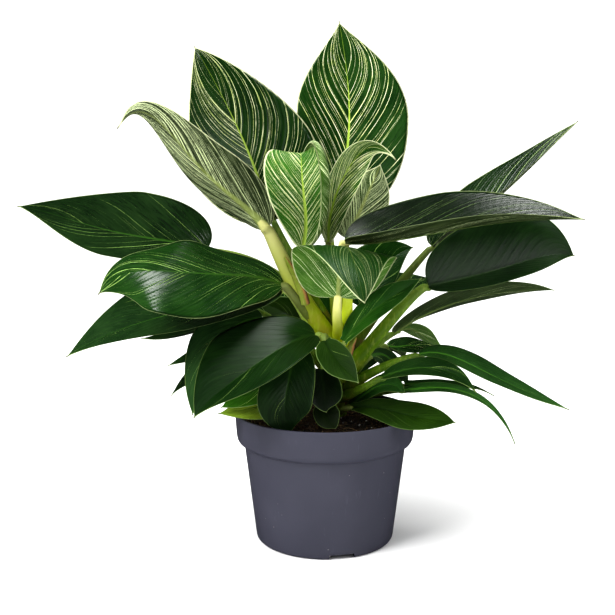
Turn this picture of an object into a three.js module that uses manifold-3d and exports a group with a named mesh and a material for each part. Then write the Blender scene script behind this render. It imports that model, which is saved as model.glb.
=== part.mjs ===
// A pinstripe-leaved philodendron in the nursery pot that it is sold in.
// Millimetres, +Z up. The origin is the middle of the pot's underside, on the pot's axis,
// and the plant is seen from -Y as it stands on a shelf.
import * as THREE from "three";
import { mergeVertices } from "three/addons/utils/BufferGeometryUtils.js";
import Module from "manifold-3d";

const wasm = await Module();
wasm.setup();

// Driving dimensions
const POT_HEIGHT = 93;
const RIM_RADIUS = 65;
const RIM_BAND = 23; // height of the thicker band under the rim
const BASE_RADIUS = 50.5;
const WALL = 1.6;
const FOOT_HEIGHT = 4; // the floor stands this high over the shelf, round a flat centre pad
const PAD_RADIUS = 14;
const NOTCH = { count: 3, width: 18, first: -77 }; // slots in the foot ring, degrees
const DRAIN = { count: 8, radius: 3.5, ring: 30 };

const SOIL_EDGE = 83; // height of the peat at the wall
const SOIL_MOUND = 5; // the peat rises by this towards the stem
const GAP = 0.3; // clearance between pieces that touch

const TRUNK_FOOT = new THREE.Vector3(9, 4, 68);
const TRUNK_TOP = new THREE.Vector3(11, 1, 152);
const TRUNK_RADIUS = [7, 4.5];

const BLADE = 0.9; // leaf thickness
const SHEATH = 0.7; // thickness of the dry sheaths

// Each leaf: "rib" holds five points that its midrib passes through, from base to tip.
// "root" is the height on the trunk where its stalk starts, "bend" the point that the stalk
// leans towards, and "stalk" its radius at both ends. "side" points across the blade, to its
// t = +1 margin. Widths, folds (degrees up from flat at the rib) and curls (degrees more by
// the margin) are given for the t = -1 and the t = +1 half, or once for both.
const LEAVES = [
  { "name": "crown_right", "size": 10, "root": 146, "bend": [6, 10, 201], "stalk": [4.5, 2.2],
    "rib": [[4, 20, 238], [15, 26, 272], [18, 34, 307], [16, 42, 340], [11, 50, 375]],
    "side": [1, 0.2, 0], "width": [86, 88], "fold": 10, "curl": 6, "peak": 0.48, "tip": 1.85 },
  { "name": "crown_left", "size": 10, "root": 138, "bend": [-23, 1, 200], "stalk": [4.5, 2.2],
    "rib": [[-37, 6, 229], [-47, 8, 257], [-58, 12, 285], [-75, 18, 320], [-94, 28, 353]],
    "side": [0.9, 0, 0.42], "width": [88, 94], "fold": 4, "curl": 6, "peak": [0.42, 0.38],
    "base": [1.6, 2.4], "tip": 1.6 },
  { "name": "pale_left", "size": 10, "root": 132, "bend": [-27, -10, 185], "stalk": [7, 4],
    "rib": [[-41, -14, 224], [-66, -24, 248], [-88, -38, 270], [-109, -50, 294], [-130, -66, 288]],
    "side": [-0.58, 0.15, -0.73], "width": [58, 52], "fold": 45, "curl": 10, "peak": 0.28,
    "tip": 1.5 },
  { "name": "curled_centre", "size": 12, "root": 146, "bend": [-36, -9, 186], "stalk": [4, 2.2],
    "rib": [[-16, -14, 210], [-14, -22, 235], [-16, -28, 256], [-17, -23, 273], [-20, -7, 265]],
    "side": [1, 0, 0], "width": [52, 64], "fold": [12, 5], "curl": [10, 262], "roll": [1, 3.2],
    "peak": [0.56, 0.5], "base": [1.4, 1.35], "tip": [2.4, 2] },
  { "name": "curled_right", "size": 10, "root": 148, "bend": [5, -6, 180], "stalk": [4, 2],
    "rib": [[2, -8, 214], [4, -12, 237], [12, -20, 259], [26, -26, 277], [45, -36, 270]],
    "side": [1, 0, -0.3], "width": [34, 30], "fold": 35, "curl": 20, "peak": [0.62, 0.5],
    "base": [1.6, 2] },
  { "name": "spear_right", "size": 8, "root": 150, "bend": [14, -6, 180], "stalk": [3.5, 1.8],
    "rib": [[16, -8, 217], [22, -7, 231], [29, -6, 247], [34, -5, 258], [38, -6, 268]],
    "side": [-1, 0, -0.3], "width": 36, "fold": 15, "curl": 10 },
  { "name": "front_centre", "size": 12, "root": 140, "bend": [7, -24, 163], "stalk": [4, 2.6],
    "rib": [[8, -30, 178], [9, -34, 198], [12, -52, 213], [17, -78, 202], [22, -92, 181]],
    "side": [-1, 0, -0.24], "width": [72, 68], "fold": [2, -8], "curl": [0, -8],
    "peak": [0.45, 0.42], "base": 2, "tip": [1.3, 1.3] },
  { "name": "right_long", "size": 10, "root": 134, "bend": [23, -27, 188], "stalk": [4.5, 1.9],
    "rib": [[12, -34, 216], [49, -38, 218], [88, -46, 225], [126, -56, 230], [161, -66, 231]],
    "side": [0, -0.95, -0.3], "width": [66, 60], "fold": 32, "lead": 8 },
  { "name": "right_back", "size": 10, "root": 128, "bend": [45, 20, 170], "stalk": [4.5, 2.2],
    "rib": [[81, 36, 209], [110, 42, 230], [138, 50, 251], [167, 58, 277], [196, 66, 304]],
    "side": [0.28, -0.95, -0.15], "width": 56, "fold": 28, "peak": 0.4, "tip": 1.45 },
  { "name": "right_big", "size": 10, "root": 112, "bend": [41, -12, 154], "stalk": [5.5, 2.6],
    "rib": [[71, -16, 184], [98, -18, 190], [125, -22, 198], [147, -26, 205], [167, -30, 206]],
    "side": [0, -0.7, -0.7], "width": [78, 50], "fold": 30, "peak": 0.55, "tip": 2.4 },
  { "name": "right_pale", "size": 10, "root": 116, "bend": [32, 16, 130], "stalk": [4, 2],
    "rib": [[50, 16, 147], [78, 20, 162], [108, 26, 171], [141, 32, 176], [174, 38, 176]],
    "side": [0, -0.93, 0.36], "width": [50, 74], "fold": 8, "curl": -10, "peak": [0.4, 0.3],
    "base": [2.4, 2] },
  { "name": "right_narrow", "size": 8, "root": 124, "bend": [11, -18, 135], "stalk": [3.5, 1.8],
    "rib": [[13, -22, 146], [25, -26, 162], [39, -30, 174], [52, -32, 183], [64, -34, 191]],
    "side": [0.45, -0.7, -0.45], "width": 22, "fold": 15, "peak": 0.5 },
  { "name": "right_low", "size": 8, "root": 106, "bend": [42, -14, 130], "stalk": [4, 2],
    "rib": [[65, -22, 137], [87, -26, 136], [110, -32, 126], [136, -38, 114], [162, -46, 104]],
    "side": [0.1, -0.97, -0.2], "width": [32, 28], "fold": 10, "curl": -8 },
  { "name": "right_low_short", "size": 8, "root": 100, "bend": [28, -28, 115], "stalk": [3.5, 1.8],
    "rib": [[38, -38, 124], [54, -42, 130], [71, -47, 132], [86, -52, 128], [98, -56, 118]],
    "side": [0, -0.95, -0.3], "width": [22, 26], "fold": 12 },
  { "name": "right_long_thin", "size": 8, "root": 96, "bend": [34, -2, 105], "stalk": [2.5, 1.4],
    "rib": [[55, -2, 107], [76, -2, 109], [101, -3, 106], [123, -4, 92], [137, -6, 69]],
    "side": [0, -0.9, -0.4], "width": 13, "fold": 10, "peak": 0.35 },
  { "name": "right_thin_tip", "size": 8, "root": 98, "bend": [35, 8, 105], "stalk": [2.5, 1.4],
    "rib": [[59, 10, 109], [76, 12, 109], [93, 14, 108], [109, 16, 106], [126, 18, 99]],
    "side": [0, -0.9, -0.4], "width": 11, "fold": 10, "peak": 0.4 },
  { "name": "right_front_low", "size": 8, "root": 92, "bend": [16, -14, 96], "stalk": [3, 1.8],
    "rib": [[19, -20, 99], [38, -28, 100], [54, -37, 98], [70, -46, 97], [85, -54, 97]],
    "side": [0.1, -0.9, -0.4], "width": [24, 33], "fold": 12, "peak": 0.58, "base": 1.6,
    "tip": 2.2 },
  { "name": "right_small_arch", "size": 8, "root": 90, "bend": [14, -2, 93], "stalk": [2.5, 1.4],
    "rib": [[18, -4, 97], [29, -8, 106], [40, -11, 113], [49, -14, 113], [56, -16, 109]],
    "side": [0, -0.85, -0.5], "width": 20, "fold": 12, "peak": 0.55 },
  { "name": "back_right_pale", "size": 8, "root": 112, "bend": [34, 34, 134], "stalk": [3, 1.6],
    "rib": [[57, 44, 144], [67, 50, 145], [76, 54, 140], [85, 60, 133], [96, 66, 127]],
    "side": [0, -0.97, 0.1], "width": [28, 22], "fold": 8, "peak": 0.4 },
  { "name": "back_right_broad", "size": 8, "root": 108, "bend": [33, 22, 125], "stalk": [3, 1.6],
    "rib": [[48, 26, 135], [59, 30, 134], [70, 34, 134], [83, 38, 131], [94, 42, 128]],
    "side": [0, -0.95, -0.2], "width": [24, 32], "fold": 8, "peak": 0.4 },
  { "name": "back_right_dark", "size": 8, "root": 102, "bend": [26, 8, 122], "stalk": [3, 1.6],
    "rib": [[34, 5, 131], [43, 10, 131], [50, 12, 126], [57, 14, 119], [62, 16, 110]],
    "side": [0.2, -0.6, -0.75], "width": [14, 34], "fold": 6, "peak": 0.5, "tip": 2.4 },
  { "name": "left_upper", "size": 10, "root": 130, "bend": [-24, 18, 206], "stalk": [4.5, 2.2],
    "rib": [[-84, 3, 208], [-118, 7, 215], [-153, 12, 221], [-187, 17, 230], [-224, 23, 239]],
    "side": [0, 0.7, 0.7], "width": [64, 75], "fold": 15, "peak": [0.46, 0.42], "tip": 1.5 },
  { "name": "left_glossy", "size": 10, "root": 126, "bend": [-10, -4, 158], "stalk": [5, 3],
    "rib": [[-30, -15, 185], [-60, -31, 193], [-89, -50, 196], [-118, -62, 198], [-143, -74, 185]],
    "side": [-0.2, 0.78, 0.6], "width": [74, 72], "fold": -8, "peak": [0.64, 0.45],
    "base": [1.5, 2.4], "tip": [2.2, 1.8], "wave": 2.5 },
  { "name": "left_under", "size": 10, "root": 120, "bend": [-12, -6, 152], "stalk": [4.5, 2.2],
    "rib": [[-31, -10, 181], [-68, -16, 174], [-104, -24, 166], [-139, -32, 156], [-174, -40, 139]],
    "side": [0, 0.9, 0.44], "width": [68, 80], "fold": [10, 14], "peak": [0.44, 0.5],
    "base": [2.4, 1.3], "tip": 1.6 },
  { "name": "left_shadow", "size": 8, "root": 116, "bend": [-25, 10, 148], "stalk": [3.5, 1.8],
    "rib": [[-55, 14, 163], [-74, 20, 155], [-94, 26, 148], [-116, 32, 142], [-139, 38, 139]],
    "side": [0, 1, 0.1], "width": 46, "fold": 8, "peak": 0.4 },
  { "name": "front_left_big", "size": 10, "root": 114, "bend": [1, -26, 141], "stalk": [4, 2],
    "rib": [[-7, -36, 153], [-28, -48, 147], [-49, -60, 135], [-68, -70, 122], [-84, -80, 107]],
    "side": [-0.57, 0.68, 0.44], "width": [46, 70], "fold": 12, "peak": [0.44, 0.52],
    "base": [2.4, 1.9], "tip": 1.6 },
  { "name": "left_dark", "size": 8, "root": 112, "bend": [-21, -8, 148], "stalk": [3.5, 1.8],
    "rib": [[-44, -14, 161], [-61, -20, 157], [-73, -26, 144], [-83, -34, 123], [-90, -44, 100]],
    "side": [-0.5, 0.6, 0.6], "width": 44, "fold": 8, "peak": 0.5 },
  { "name": "left_tip_pale", "size": 8, "root": 106, "bend": [-29, 18, 132], "stalk": [3, 1.6],
    "rib": [[-59, 22, 131], [-74, 26, 130], [-90, 30, 128], [-105, 34, 124], [-119, 38, 118]],
    "side": [0, 0.95, 0.3], "width": 32, "fold": 8, "peak": 0.4 },
  { "name": "left_tip_dark", "size": 8, "root": 100, "bend": [-25, -4, 122], "stalk": [3, 1.6],
    "rib": [[-53, -2, 124], [-68, 0, 124], [-84, 2, 121], [-98, 4, 115], [-112, 6, 102]],
    "side": [-0.1, 0.8, 0.5], "width": 32, "fold": 8, "peak": 0.4 },
  { "name": "left_low_green", "size": 8, "root": 98, "bend": [-7, -12, 115], "stalk": [3, 1.6],
    "rib": [[-19, -16, 119], [-32, -22, 118], [-45, -28, 115], [-58, -34, 109], [-71, -40, 104]],
    "side": [-0.1, 0.8, 0.5], "width": 32, "fold": 8, "peak": 0.45 },
  { "name": "left_low_yellow", "size": 8, "root": 92, "bend": [-7, -12, 101], "stalk": [3, 1.6],
    "rib": [[-18, -19, 104], [-32, -24, 103], [-45, -29, 102], [-58, -33, 100], [-73, -37, 99]],
    "side": [-0.1, 0.8, 0.5], "width": 30, "fold": 8, "peak": 0.45 },
  { "name": "front_hanging", "size": 8, "root": 104, "bend": [-5, -20, 138], "stalk": [3.5, 1.8],
    "rib": [[-19, -28, 144], [-23, -37, 133], [-26, -43, 119], [-28, -47, 104], [-24, -48, 88]],
    "side": [-1, 0, 0], "width": 38, "fold": 6, "peak": 0.62, "tip": 2.6 },
  { "name": "front_dark", "size": 6, "root": 96, "bend": [2, -18, 124], "stalk": [2.5, 1.4],
    "rib": [[-3, -33, 129], [-2, -38, 121], [-1, -43, 114], [-1, -47, 108], [0, -50, 103]],
    "side": [-1, 0, 0], "width": 24, "fold": 6, "peak": 0.5 },
  { "name": "front_soil", "size": 6, "root": 92, "bend": [2, -24, 103], "stalk": [2.5, 1.4],
    "rib": [[-3, -33, 105], [-1, -38, 102], [1, -42, 98], [4, -45, 94], [6, -47, 91]],
    "side": [-1, 0, -0.3], "width": 18, "fold": 10, "peak": 0.5 },
  { "name": "front_small", "size": 8, "root": 110, "bend": [4, -40, 150], "stalk": [3, 1.6],
    "rib": [[-1, -54, 152], [3, -59, 145], [8, -63, 139], [14, -66, 133], [20, -70, 127]],
    "side": [-0.6, -0.2, -0.45], "width": [20, 24], "fold": 20, "peak": 0.45 },
  { "name": "centre_back", "size": 8, "root": 116, "bend": [2, 14, 134], "stalk": [3, 1.6],
    "rib": [[-5, 18, 148], [-5, 21, 157], [-4, 24, 165], [-3, 27, 174], [-1, 30, 184]],
    "side": [1, 0, 0], "width": 30, "fold": 12, "peak": 0.45 },
  { "name": "back_left_green", "size": 8, "root": 118, "bend": [-2, 15, 135], "stalk": [3, 1.6],
    "rib": [[-9, 20, 141], [-17, 24, 150], [-25, 28, 157], [-37, 32, 163], [-50, 36, 167]],
    "side": [0.5, 0.3, 0.7], "width": 30, "fold": 12, "peak": 0.45 },
  { "name": "right_behind", "size": 8, "root": 130, "bend": [20, 6, 154], "stalk": [4, 2],
    "rib": [[25, 8, 167], [32, 12, 179], [40, 16, 191], [51, 20, 202], [65, 24, 209]],
    "side": [0.7, -0.2, -0.6], "width": [50, 28], "fold": 10, "peak": 0.45 },
  { "name": "back_left", "size": 10, "root": 124, "bend": [2, 28, 142], "stalk": [4, 2],
    "rib": [[-22, 40, 150], [-45, 70, 163], [-69, 98, 168], [-91, 122, 162], [-110, 142, 148]],
    "side": [0.6, 0.6, 0.1], "width": 60, "fold": 12 },
  { "name": "back_right", "size": 10, "root": 122, "bend": [22, 20, 145], "stalk": [4, 2],
    "rib": [[38, 45, 158], [60, 75, 172], [80, 102, 178], [97, 126, 176], [112, 146, 166]],
    "side": [0.7, -0.6, 0], "width": 60, "fold": 12 },
  { "name": "back_middle", "size": 10, "root": 134, "bend": [10, 22, 150], "stalk": [4, 2],
    "rib": [[8, 48, 158], [6, 78, 178], [4, 108, 186], [1, 136, 182], [-3, 160, 168]],
    "side": [1, 0, 0], "width": 52, "fold": 12 },
  { "name": "back_low_left", "size": 8, "root": 104, "bend": [0, 18, 112], "stalk": [3, 1.6],
    "rib": [[-14, 36, 112], [-34, 60, 120], [-54, 82, 120], [-72, 102, 112], [-88, 118, 98]],
    "side": [0.6, 0.6, 0.1], "width": 40, "fold": 10 },
  { "name": "back_low_right", "size": 8, "root": 104, "bend": [16, 18, 112], "stalk": [3, 1.6],
    "rib": [[24, 36, 112], [38, 58, 122], [50, 80, 124], [61, 98, 120], [70, 112, 110]],
    "side": [0.7, -0.6, 0], "width": 36, "fold": 10 },
];

const COMMON = { curl: 0, roll: 1, peak: 0.42, base: 2.4, tip: 1.8, wave: 0, lobe: 0.16, lead: 10 };

// Small helpers
const radians = THREE.MathUtils.degToRad;
const point = (xyz) => new THREE.Vector3(...xyz);
const half = (value, t) => (Array.isArray(value) ? value[t < 0 ? 0 : 1] : value);

// Geometry made of indexed corners, and its way in and out of the boolean library.
function geometryOf(corners, triangles) {
  const geometry = new THREE.BufferGeometry().setFromPoints(corners);
  geometry.setIndex(triangles);
  return geometry;
}

function solidOf(geometry) {
  const bare = geometry.clone();
  bare.deleteAttribute("normal");
  bare.deleteAttribute("uv");
  const merged = mergeVertices(bare, 1e-4);
  return new wasm.Manifold(
    new wasm.Mesh({
      numProp: 3,
      vertProperties: merged.attributes.position.array,
      triVerts: new Uint32Array(merged.index.array),
    }),
  );
}

function geometryFrom(solid) {
  const mesh = solid.getMesh();
  const geometry = new THREE.BufferGeometry();
  geometry.setAttribute("position", new THREE.BufferAttribute(mesh.vertProperties, 3));
  geometry.setIndex(new THREE.BufferAttribute(mesh.triVerts, 1));
  return geometry;
}

// A closed tube with round ends cut flat: one ring of corners for each centre and radius.
function taperedTube(centres, radii, sides) {
  const corners = [];
  const triangles = [];
  const across = new THREE.Vector3(0, 1, 0);
  centres.forEach((centre, i) => {
    const before = centres[Math.max(i - 1, 0)];
    const after = centres[Math.min(i + 1, centres.length - 1)];
    const along = after.clone().sub(before).normalize();
    across.addScaledVector(along, -across.dot(along)).normalize();
    const other = along.clone().cross(across);
    for (let k = 0; k < sides; k++) {
      const turn = (2 * Math.PI * k) / sides;
      const corner = centre.clone();
      corner.addScaledVector(across, radii[i] * Math.cos(turn));
      corner.addScaledVector(other, radii[i] * Math.sin(turn));
      corners.push(corner);
    }
  });
  for (let i = 0; i + 1 < centres.length; i++)
    for (let k = 0; k < sides; k++) {
      const a = i * sides + k;
      const b = i * sides + ((k + 1) % sides);
      triangles.push(a, b, b + sides, a, b + sides, a + sides);
    }
  const last = (centres.length - 1) * sides;
  for (let k = 1; k + 1 < sides; k++) {
    triangles.push(0, k + 1, k);
    triangles.push(last, last + k, last + k + 1);
  }
  return geometryOf(corners, triangles);
}

// Where a leaf's midrib passes: the smooth curve through its evenly spaced points.
function ribAt(leaf, s) {
  const last = leaf.rib.length - 1;
  const place = new THREE.Vector3();
  leaf.rib.forEach((xyz, i) => {
    let weight = 1;
    for (let j = 0; j <= last; j++) if (j !== i) weight *= (s * last - j) / (i - j);
    place.addScaledVector(point(xyz), weight);
  });
  return place;
}

function ribDirection(leaf, s) {
  return ribAt(leaf, s + 0.01).sub(ribAt(leaf, s - 0.01)).normalize();
}

// Half-width of the blade against its greatest, from 0 at the base over 1 at the peak to 0.
function outline(leaf, s, t) {
  const peak = half(leaf.peak, t);
  if (s < peak) return Math.sqrt(1 - ((peak - s) / peak) ** half(leaf.base, t));
  return Math.max(0, 1 - ((s - peak) / (1 - peak)) ** half(leaf.tip, t)) ** 1.1;
}

// How far across (x) and up (y) a margin-ward walk gets over a folded and curled half blade.
function crossSection(leaf, t) {
  const reach = Math.abs(t);
  const steps = 10;
  const walk = { x: 0, y: 0, slope: 0 };
  const slopeAt = (r) =>
    radians(half(leaf.fold, t)) + radians(half(leaf.curl, t)) * r ** half(leaf.roll, t);
  for (let q = 0; q < steps; q++) {
    const slope = slopeAt(((q + 0.5) / steps) * reach);
    walk.x += (Math.cos(slope) * reach) / steps;
    walk.y += (Math.sin(slope) * reach) / steps;
  }
  walk.slope = t === 0 ? 0 : slopeAt(reach);
  return walk;
}

// A leaf blade: one thin closed sheet over a grid of rows along the rib and columns across.
function blade(leaf) {
  const rows = leaf.size;
  const columns = leaf.size < 10 ? 4 : 6;
  const upper = [];
  const lower = [];
  let along = ribDirection(leaf, 0);
  const side = point(leaf.side);
  for (let i = 0; i <= rows; i++) {
    const s = (i / rows + 0.5 - 0.5 * Math.cos((Math.PI * i) / rows)) / 2;
    const next = ribDirection(leaf, s);
    side.applyQuaternion(new THREE.Quaternion().setFromUnitVectors(along, next));
    side.addScaledVector(next, -side.dot(next)).normalize();
    along = next;
    const up = side.clone().cross(along);
    for (let j = 0; j <= columns; j++) {
      const t = (2 * j) / columns - 1;
      const shape = outline(leaf, s, t);
      const reach = Math.max((half(leaf.width, t) / 2) * shape, 2 * (1 - s) + 0.3);
      const section = crossSection(leaf, t);
      const ripple = Math.sin(2 * Math.PI * (2.2 * s + 0.3 * Math.sign(t)));
      const wave = leaf.wave * t * t * ripple * shape;
      const lobe = leaf.lobe * reach * Math.abs(t) ** 1.6 * (1 - s) ** 5;
      const middle = ribAt(leaf, s);
      middle.addScaledVector(side, Math.sign(t) * reach * section.x);
      middle.addScaledVector(up, reach * section.y + wave);
      middle.addScaledVector(along, -lobe);
      const normal = up.clone().multiplyScalar(Math.cos(section.slope));
      normal.addScaledVector(side, -Math.sign(t) * Math.sin(section.slope));
      upper.push(middle.clone().addScaledVector(normal, BLADE / 2));
      lower.push(middle.clone().addScaledVector(normal, -BLADE / 2));
    }
  }
  return sheet(upper, lower, rows, columns);
}

// Two matching grids of corners joined into one closed sheet, cut alike on both faces.
function sheet(upper, lower, rows, columns) {
  const triangles = [];
  const under = upper.length;
  const at = (i, j) => i * (columns + 1) + j;
  for (let i = 0; i < rows; i++)
    for (let j = 0; j < columns; j++) {
      const [a, b, c, d] = [at(i, j), at(i, j + 1), at(i + 1, j + 1), at(i + 1, j)];
      triangles.push(a, b, c, a, c, d);
      triangles.push(under + a, under + c, under + b, under + a, under + d, under + c);
    }
  const wall = (a, b) => triangles.push(a, under + a, under + b, a, under + b, b);
  for (let i = 0; i < rows; i++) {
    wall(at(i + 1, 0), at(i, 0));
    wall(at(i, columns), at(i + 1, columns));
  }
  for (let j = 0; j < columns; j++) {
    wall(at(0, j), at(0, j + 1));
    wall(at(rows, j + 1), at(rows, j));
  }
  return geometryOf([...upper, ...lower], triangles);
}

// The trunk's middle line, by height.
function trunkAt(height) {
  const share = (height - TRUNK_FOOT.z) / (TRUNK_TOP.z - TRUNK_FOOT.z);
  return TRUNK_FOOT.clone().lerp(TRUNK_TOP, share);
}

function trunk(clearance) {
  const steps = [0, 0.5, 1];
  const centres = steps.map((u) => TRUNK_FOOT.clone().lerp(TRUNK_TOP, u));
  centres[0].z -= clearance;
  const radii = steps.map((u) => THREE.MathUtils.lerp(...TRUNK_RADIUS, u) + clearance);
  return taperedTube(centres, radii, 10);
}

// A leaf stalk: from inside the trunk to just short of the blade, in line with the midrib.
function stalk(leaf) {
  const end = ribAt(leaf, 0);
  const along = ribDirection(leaf, 0);
  const curve = new THREE.CubicBezierCurve3(
    trunkAt(leaf.root),
    point(leaf.bend),
    end.clone().addScaledVector(along, -leaf.lead),
    end.clone().addScaledVector(along, -GAP - 0.5),
  );
  const steps = leaf.size < 10 ? 4 : 5;
  const centres = curve.getPoints(steps);
  const radii = centres.map((_, i) => THREE.MathUtils.lerp(...leaf.stalk, i / steps));
  return taperedTube(centres, radii, leaf.size < 10 ? 5 : 6);
}

function stemWithStalks() {
  let solid = solidOf(trunk(0));
  for (const leaf of LEAVES) solid = solid.add(solidOf(stalk({ ...COMMON, ...leaf })));
  const bodies = solid.decompose().sort((a, b) => b.volume() - a.volume());
  return geometryFrom(bodies[0]); // without the pinhole voids between crowded stalks
}

// The pot's wall and floor turned about its axis, with drain holes and slots cut out.
const BAND_FOOT = POT_HEIGHT - RIM_BAND;
const WALL_TOP = 58.4; // outer radius of the plain wall where it meets the band

function potProfile() {
  const outside = [
    [0, 0],
    [PAD_RADIUS, 0],
    [PAD_RADIUS + 2, FOOT_HEIGHT],
    [BASE_RADIUS - 8, FOOT_HEIGHT],
    [BASE_RADIUS - 6, 0],
    [BASE_RADIUS - 3, 0],
    [BASE_RADIUS - 1, 1],
    [BASE_RADIUS, 4],
    [WALL_TOP, BAND_FOOT],
    [WALL_TOP + 2.6, BAND_FOOT + 1.4],
    [RIM_RADIUS - 2.2, BAND_FOOT + 5],
    [RIM_RADIUS - 0.6, BAND_FOOT + 11],
    [RIM_RADIUS, POT_HEIGHT - 1],
    [RIM_RADIUS - 0.8, POT_HEIGHT],
  ];
  const inside = [
    [RIM_RADIUS - WALL, POT_HEIGHT - 0.6],
    [RIM_RADIUS - WALL - 0.6, BAND_FOOT + 11],
    [WALL_TOP - WALL + 1.6, BAND_FOOT + 2],
    [WALL_TOP - WALL, BAND_FOOT],
    [BASE_RADIUS - WALL - 0.4, FOOT_HEIGHT + 2.5],
    [BASE_RADIUS - WALL - 2, FOOT_HEIGHT + WALL],
    [0, FOOT_HEIGHT + WALL],
  ];
  return [...outside, ...inside].map(([r, z]) => new THREE.Vector2(r, z));
}

function turned(profile, segments) {
  return new THREE.LatheGeometry(profile, segments).rotateX(Math.PI / 2);
}

function drainHole(angle) {
  const hole = new THREE.CylinderGeometry(DRAIN.radius, DRAIN.radius, 4 * FOOT_HEIGHT, 10);
  hole.rotateX(Math.PI / 2);
  hole.translate(DRAIN.ring * Math.cos(angle), DRAIN.ring * Math.sin(angle), 0);
  return hole;
}

function footSlot(angle) {
  const slot = new THREE.BoxGeometry(20, NOTCH.width, 2 * FOOT_HEIGHT - 0.8);
  slot.translate(BASE_RADIUS - 2, 0, 0);
  slot.rotateZ(angle);
  return slot;
}

function pot() {
  let solid = solidOf(turned(potProfile(), 36));
  for (let k = 0; k < DRAIN.count; k++)
    solid = solid.subtract(solidOf(drainHole((2 * Math.PI * k) / DRAIN.count)));
  for (let k = 0; k < NOTCH.count; k++)
    solid = solid.subtract(solidOf(footSlot(radians(NOTCH.first + (360 * k) / NOTCH.count))));
  return geometryFrom(solid);
}

// The peat: fills the pot to a low mound, a little uneven, with a hole for the trunk.
function soil() {
  const clear = GAP + 0.15;
  const wall = [
    [0, FOOT_HEIGHT + WALL + GAP],
    [BASE_RADIUS - WALL - 2.6, FOOT_HEIGHT + WALL + GAP],
    [BASE_RADIUS - WALL - 0.6 - clear, FOOT_HEIGHT + 3],
    [WALL_TOP - WALL - clear, BAND_FOOT],
    [WALL_TOP - WALL + 1.4 - clear, BAND_FOOT + 2.2],
    [RIM_RADIUS - WALL - 0.9 - clear, BAND_FOOT + 11],
  ];
  const edge = RIM_RADIUS - WALL - 0.9 - clear;
  const top = [0, 1, 2, 3, 4, 5].map((k) => {
    const share = k / 5;
    return [edge * (1 - share), SOIL_EDGE + SOIL_MOUND * Math.sin((Math.PI / 2) * share)];
  });
  const profile = [...wall, ...top].map(([r, z]) => new THREE.Vector2(r, z));
  const body = turned(profile, 32);
  const place = body.attributes.position;
  for (let i = 0; i < place.count; i++) {
    const [x, y, z] = [place.getX(i), place.getY(i), place.getZ(i)];
    const bump = 0.7 * Math.sin(x / 5.3 + 1) * Math.sin(y / 4.1 + 2);
    if (z >= SOIL_EDGE) place.setZ(i, z + bump);
  }
  return geometryFrom(solidOf(body).subtract(solidOf(trunk(GAP))));
}

// A dry sheath: the papery brown strip that wrapped a leaf before it opened.
const SHEATHS = [
  { "name": "sheath_left", "width": 5,
    "spine": [[-13.6, -15.5, 170], [-16.4, -16.4, 180], [-20.5, -17.2, 190.4],
      [-24.6, -17.8, 198], [-28.4, -17.8, 205]] },
  { "name": "sheath_right", "width": 5,
    "spine": [[16, -14.5, 131], [16.4, -16.5, 137], [18.4, -18.5, 143], [21.4, -19, 149]] },
];

function sheath(strip) {
  const spine = new THREE.CatmullRomCurve3(strip.spine.map(point));
  const rows = 6;
  const columns = 2;
  const front = [];
  const back = [];
  for (let i = 0; i <= rows; i++) {
    const u = i / rows;
    const along = spine.getTangent(u);
    const across = along.clone().cross(new THREE.Vector3(0, -1, 0)).normalize();
    const out = across.clone().cross(along);
    const reach = (strip.width / 2) * (1 - u ** 3) + 0.6;
    for (let j = 0; j <= columns; j++) {
      const t = (2 * j) / columns - 1;
      const middle = spine.getPoint(u).addScaledVector(across, reach * t);
      middle.addScaledVector(out, -1.2 * t * t);
      front.push(middle.clone().addScaledVector(out, SHEATH / 2));
      back.push(middle.clone().addScaledVector(out, -SHEATH / 2));
    }
  }
  return sheet(front, back, rows, columns);
}

// Materials and the finished group
const finish = {
  pot: new THREE.MeshStandardMaterial({ color: 0x4e5060, roughness: 0.6, metalness: 0 }),
  soil: new THREE.MeshStandardMaterial({ color: 0x2b1f19, roughness: 1, metalness: 0 }),
  stem: new THREE.MeshStandardMaterial({ color: 0x93a850, roughness: 0.45, metalness: 0 }),
  leaf: new THREE.MeshStandardMaterial({ color: 0x24512c, roughness: 0.35, metalness: 0 }),
  sheath: new THREE.MeshStandardMaterial({ color: 0x7a4a2e, roughness: 0.8, metalness: 0 }),
};

function mesh(name, geometry, material) {
  const made = new THREE.Mesh(geometry, material);
  made.name = name;
  return made;
}

const plant = new THREE.Group();
plant.add(mesh("pot", pot(), finish.pot));
plant.add(mesh("soil", soil(), finish.soil));
plant.add(mesh("stem_and_stalks", stemWithStalks(), finish.stem));
for (const leaf of LEAVES)
  plant.add(mesh("leaf_" + leaf.name, blade({ ...COMMON, ...leaf }), finish.leaf));
for (const strip of SHEATHS) plant.add(mesh(strip.name, sheath(strip), finish.sheath));

export default plant;
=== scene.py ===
# A pinstripe-leaved philodendron in the nursery pot that it is sold in.
# Metres, +Z up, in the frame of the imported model: the origin is the middle of the pot's underside.
import math
import random

import bmesh
import bpy
from mathutils import Matrix, Quaternion, Vector, noise


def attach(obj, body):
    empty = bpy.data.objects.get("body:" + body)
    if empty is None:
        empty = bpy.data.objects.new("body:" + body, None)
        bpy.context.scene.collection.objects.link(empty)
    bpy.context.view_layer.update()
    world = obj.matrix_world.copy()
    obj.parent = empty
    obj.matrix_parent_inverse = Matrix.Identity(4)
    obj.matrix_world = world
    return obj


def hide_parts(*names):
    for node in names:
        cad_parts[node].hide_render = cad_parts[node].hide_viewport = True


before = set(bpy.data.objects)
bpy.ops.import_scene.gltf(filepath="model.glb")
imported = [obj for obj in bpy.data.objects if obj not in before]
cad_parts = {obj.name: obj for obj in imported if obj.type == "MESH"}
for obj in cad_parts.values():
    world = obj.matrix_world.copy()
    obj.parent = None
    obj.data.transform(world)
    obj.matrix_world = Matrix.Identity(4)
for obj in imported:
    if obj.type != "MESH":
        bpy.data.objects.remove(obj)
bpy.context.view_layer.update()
MM = 0.001

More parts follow.
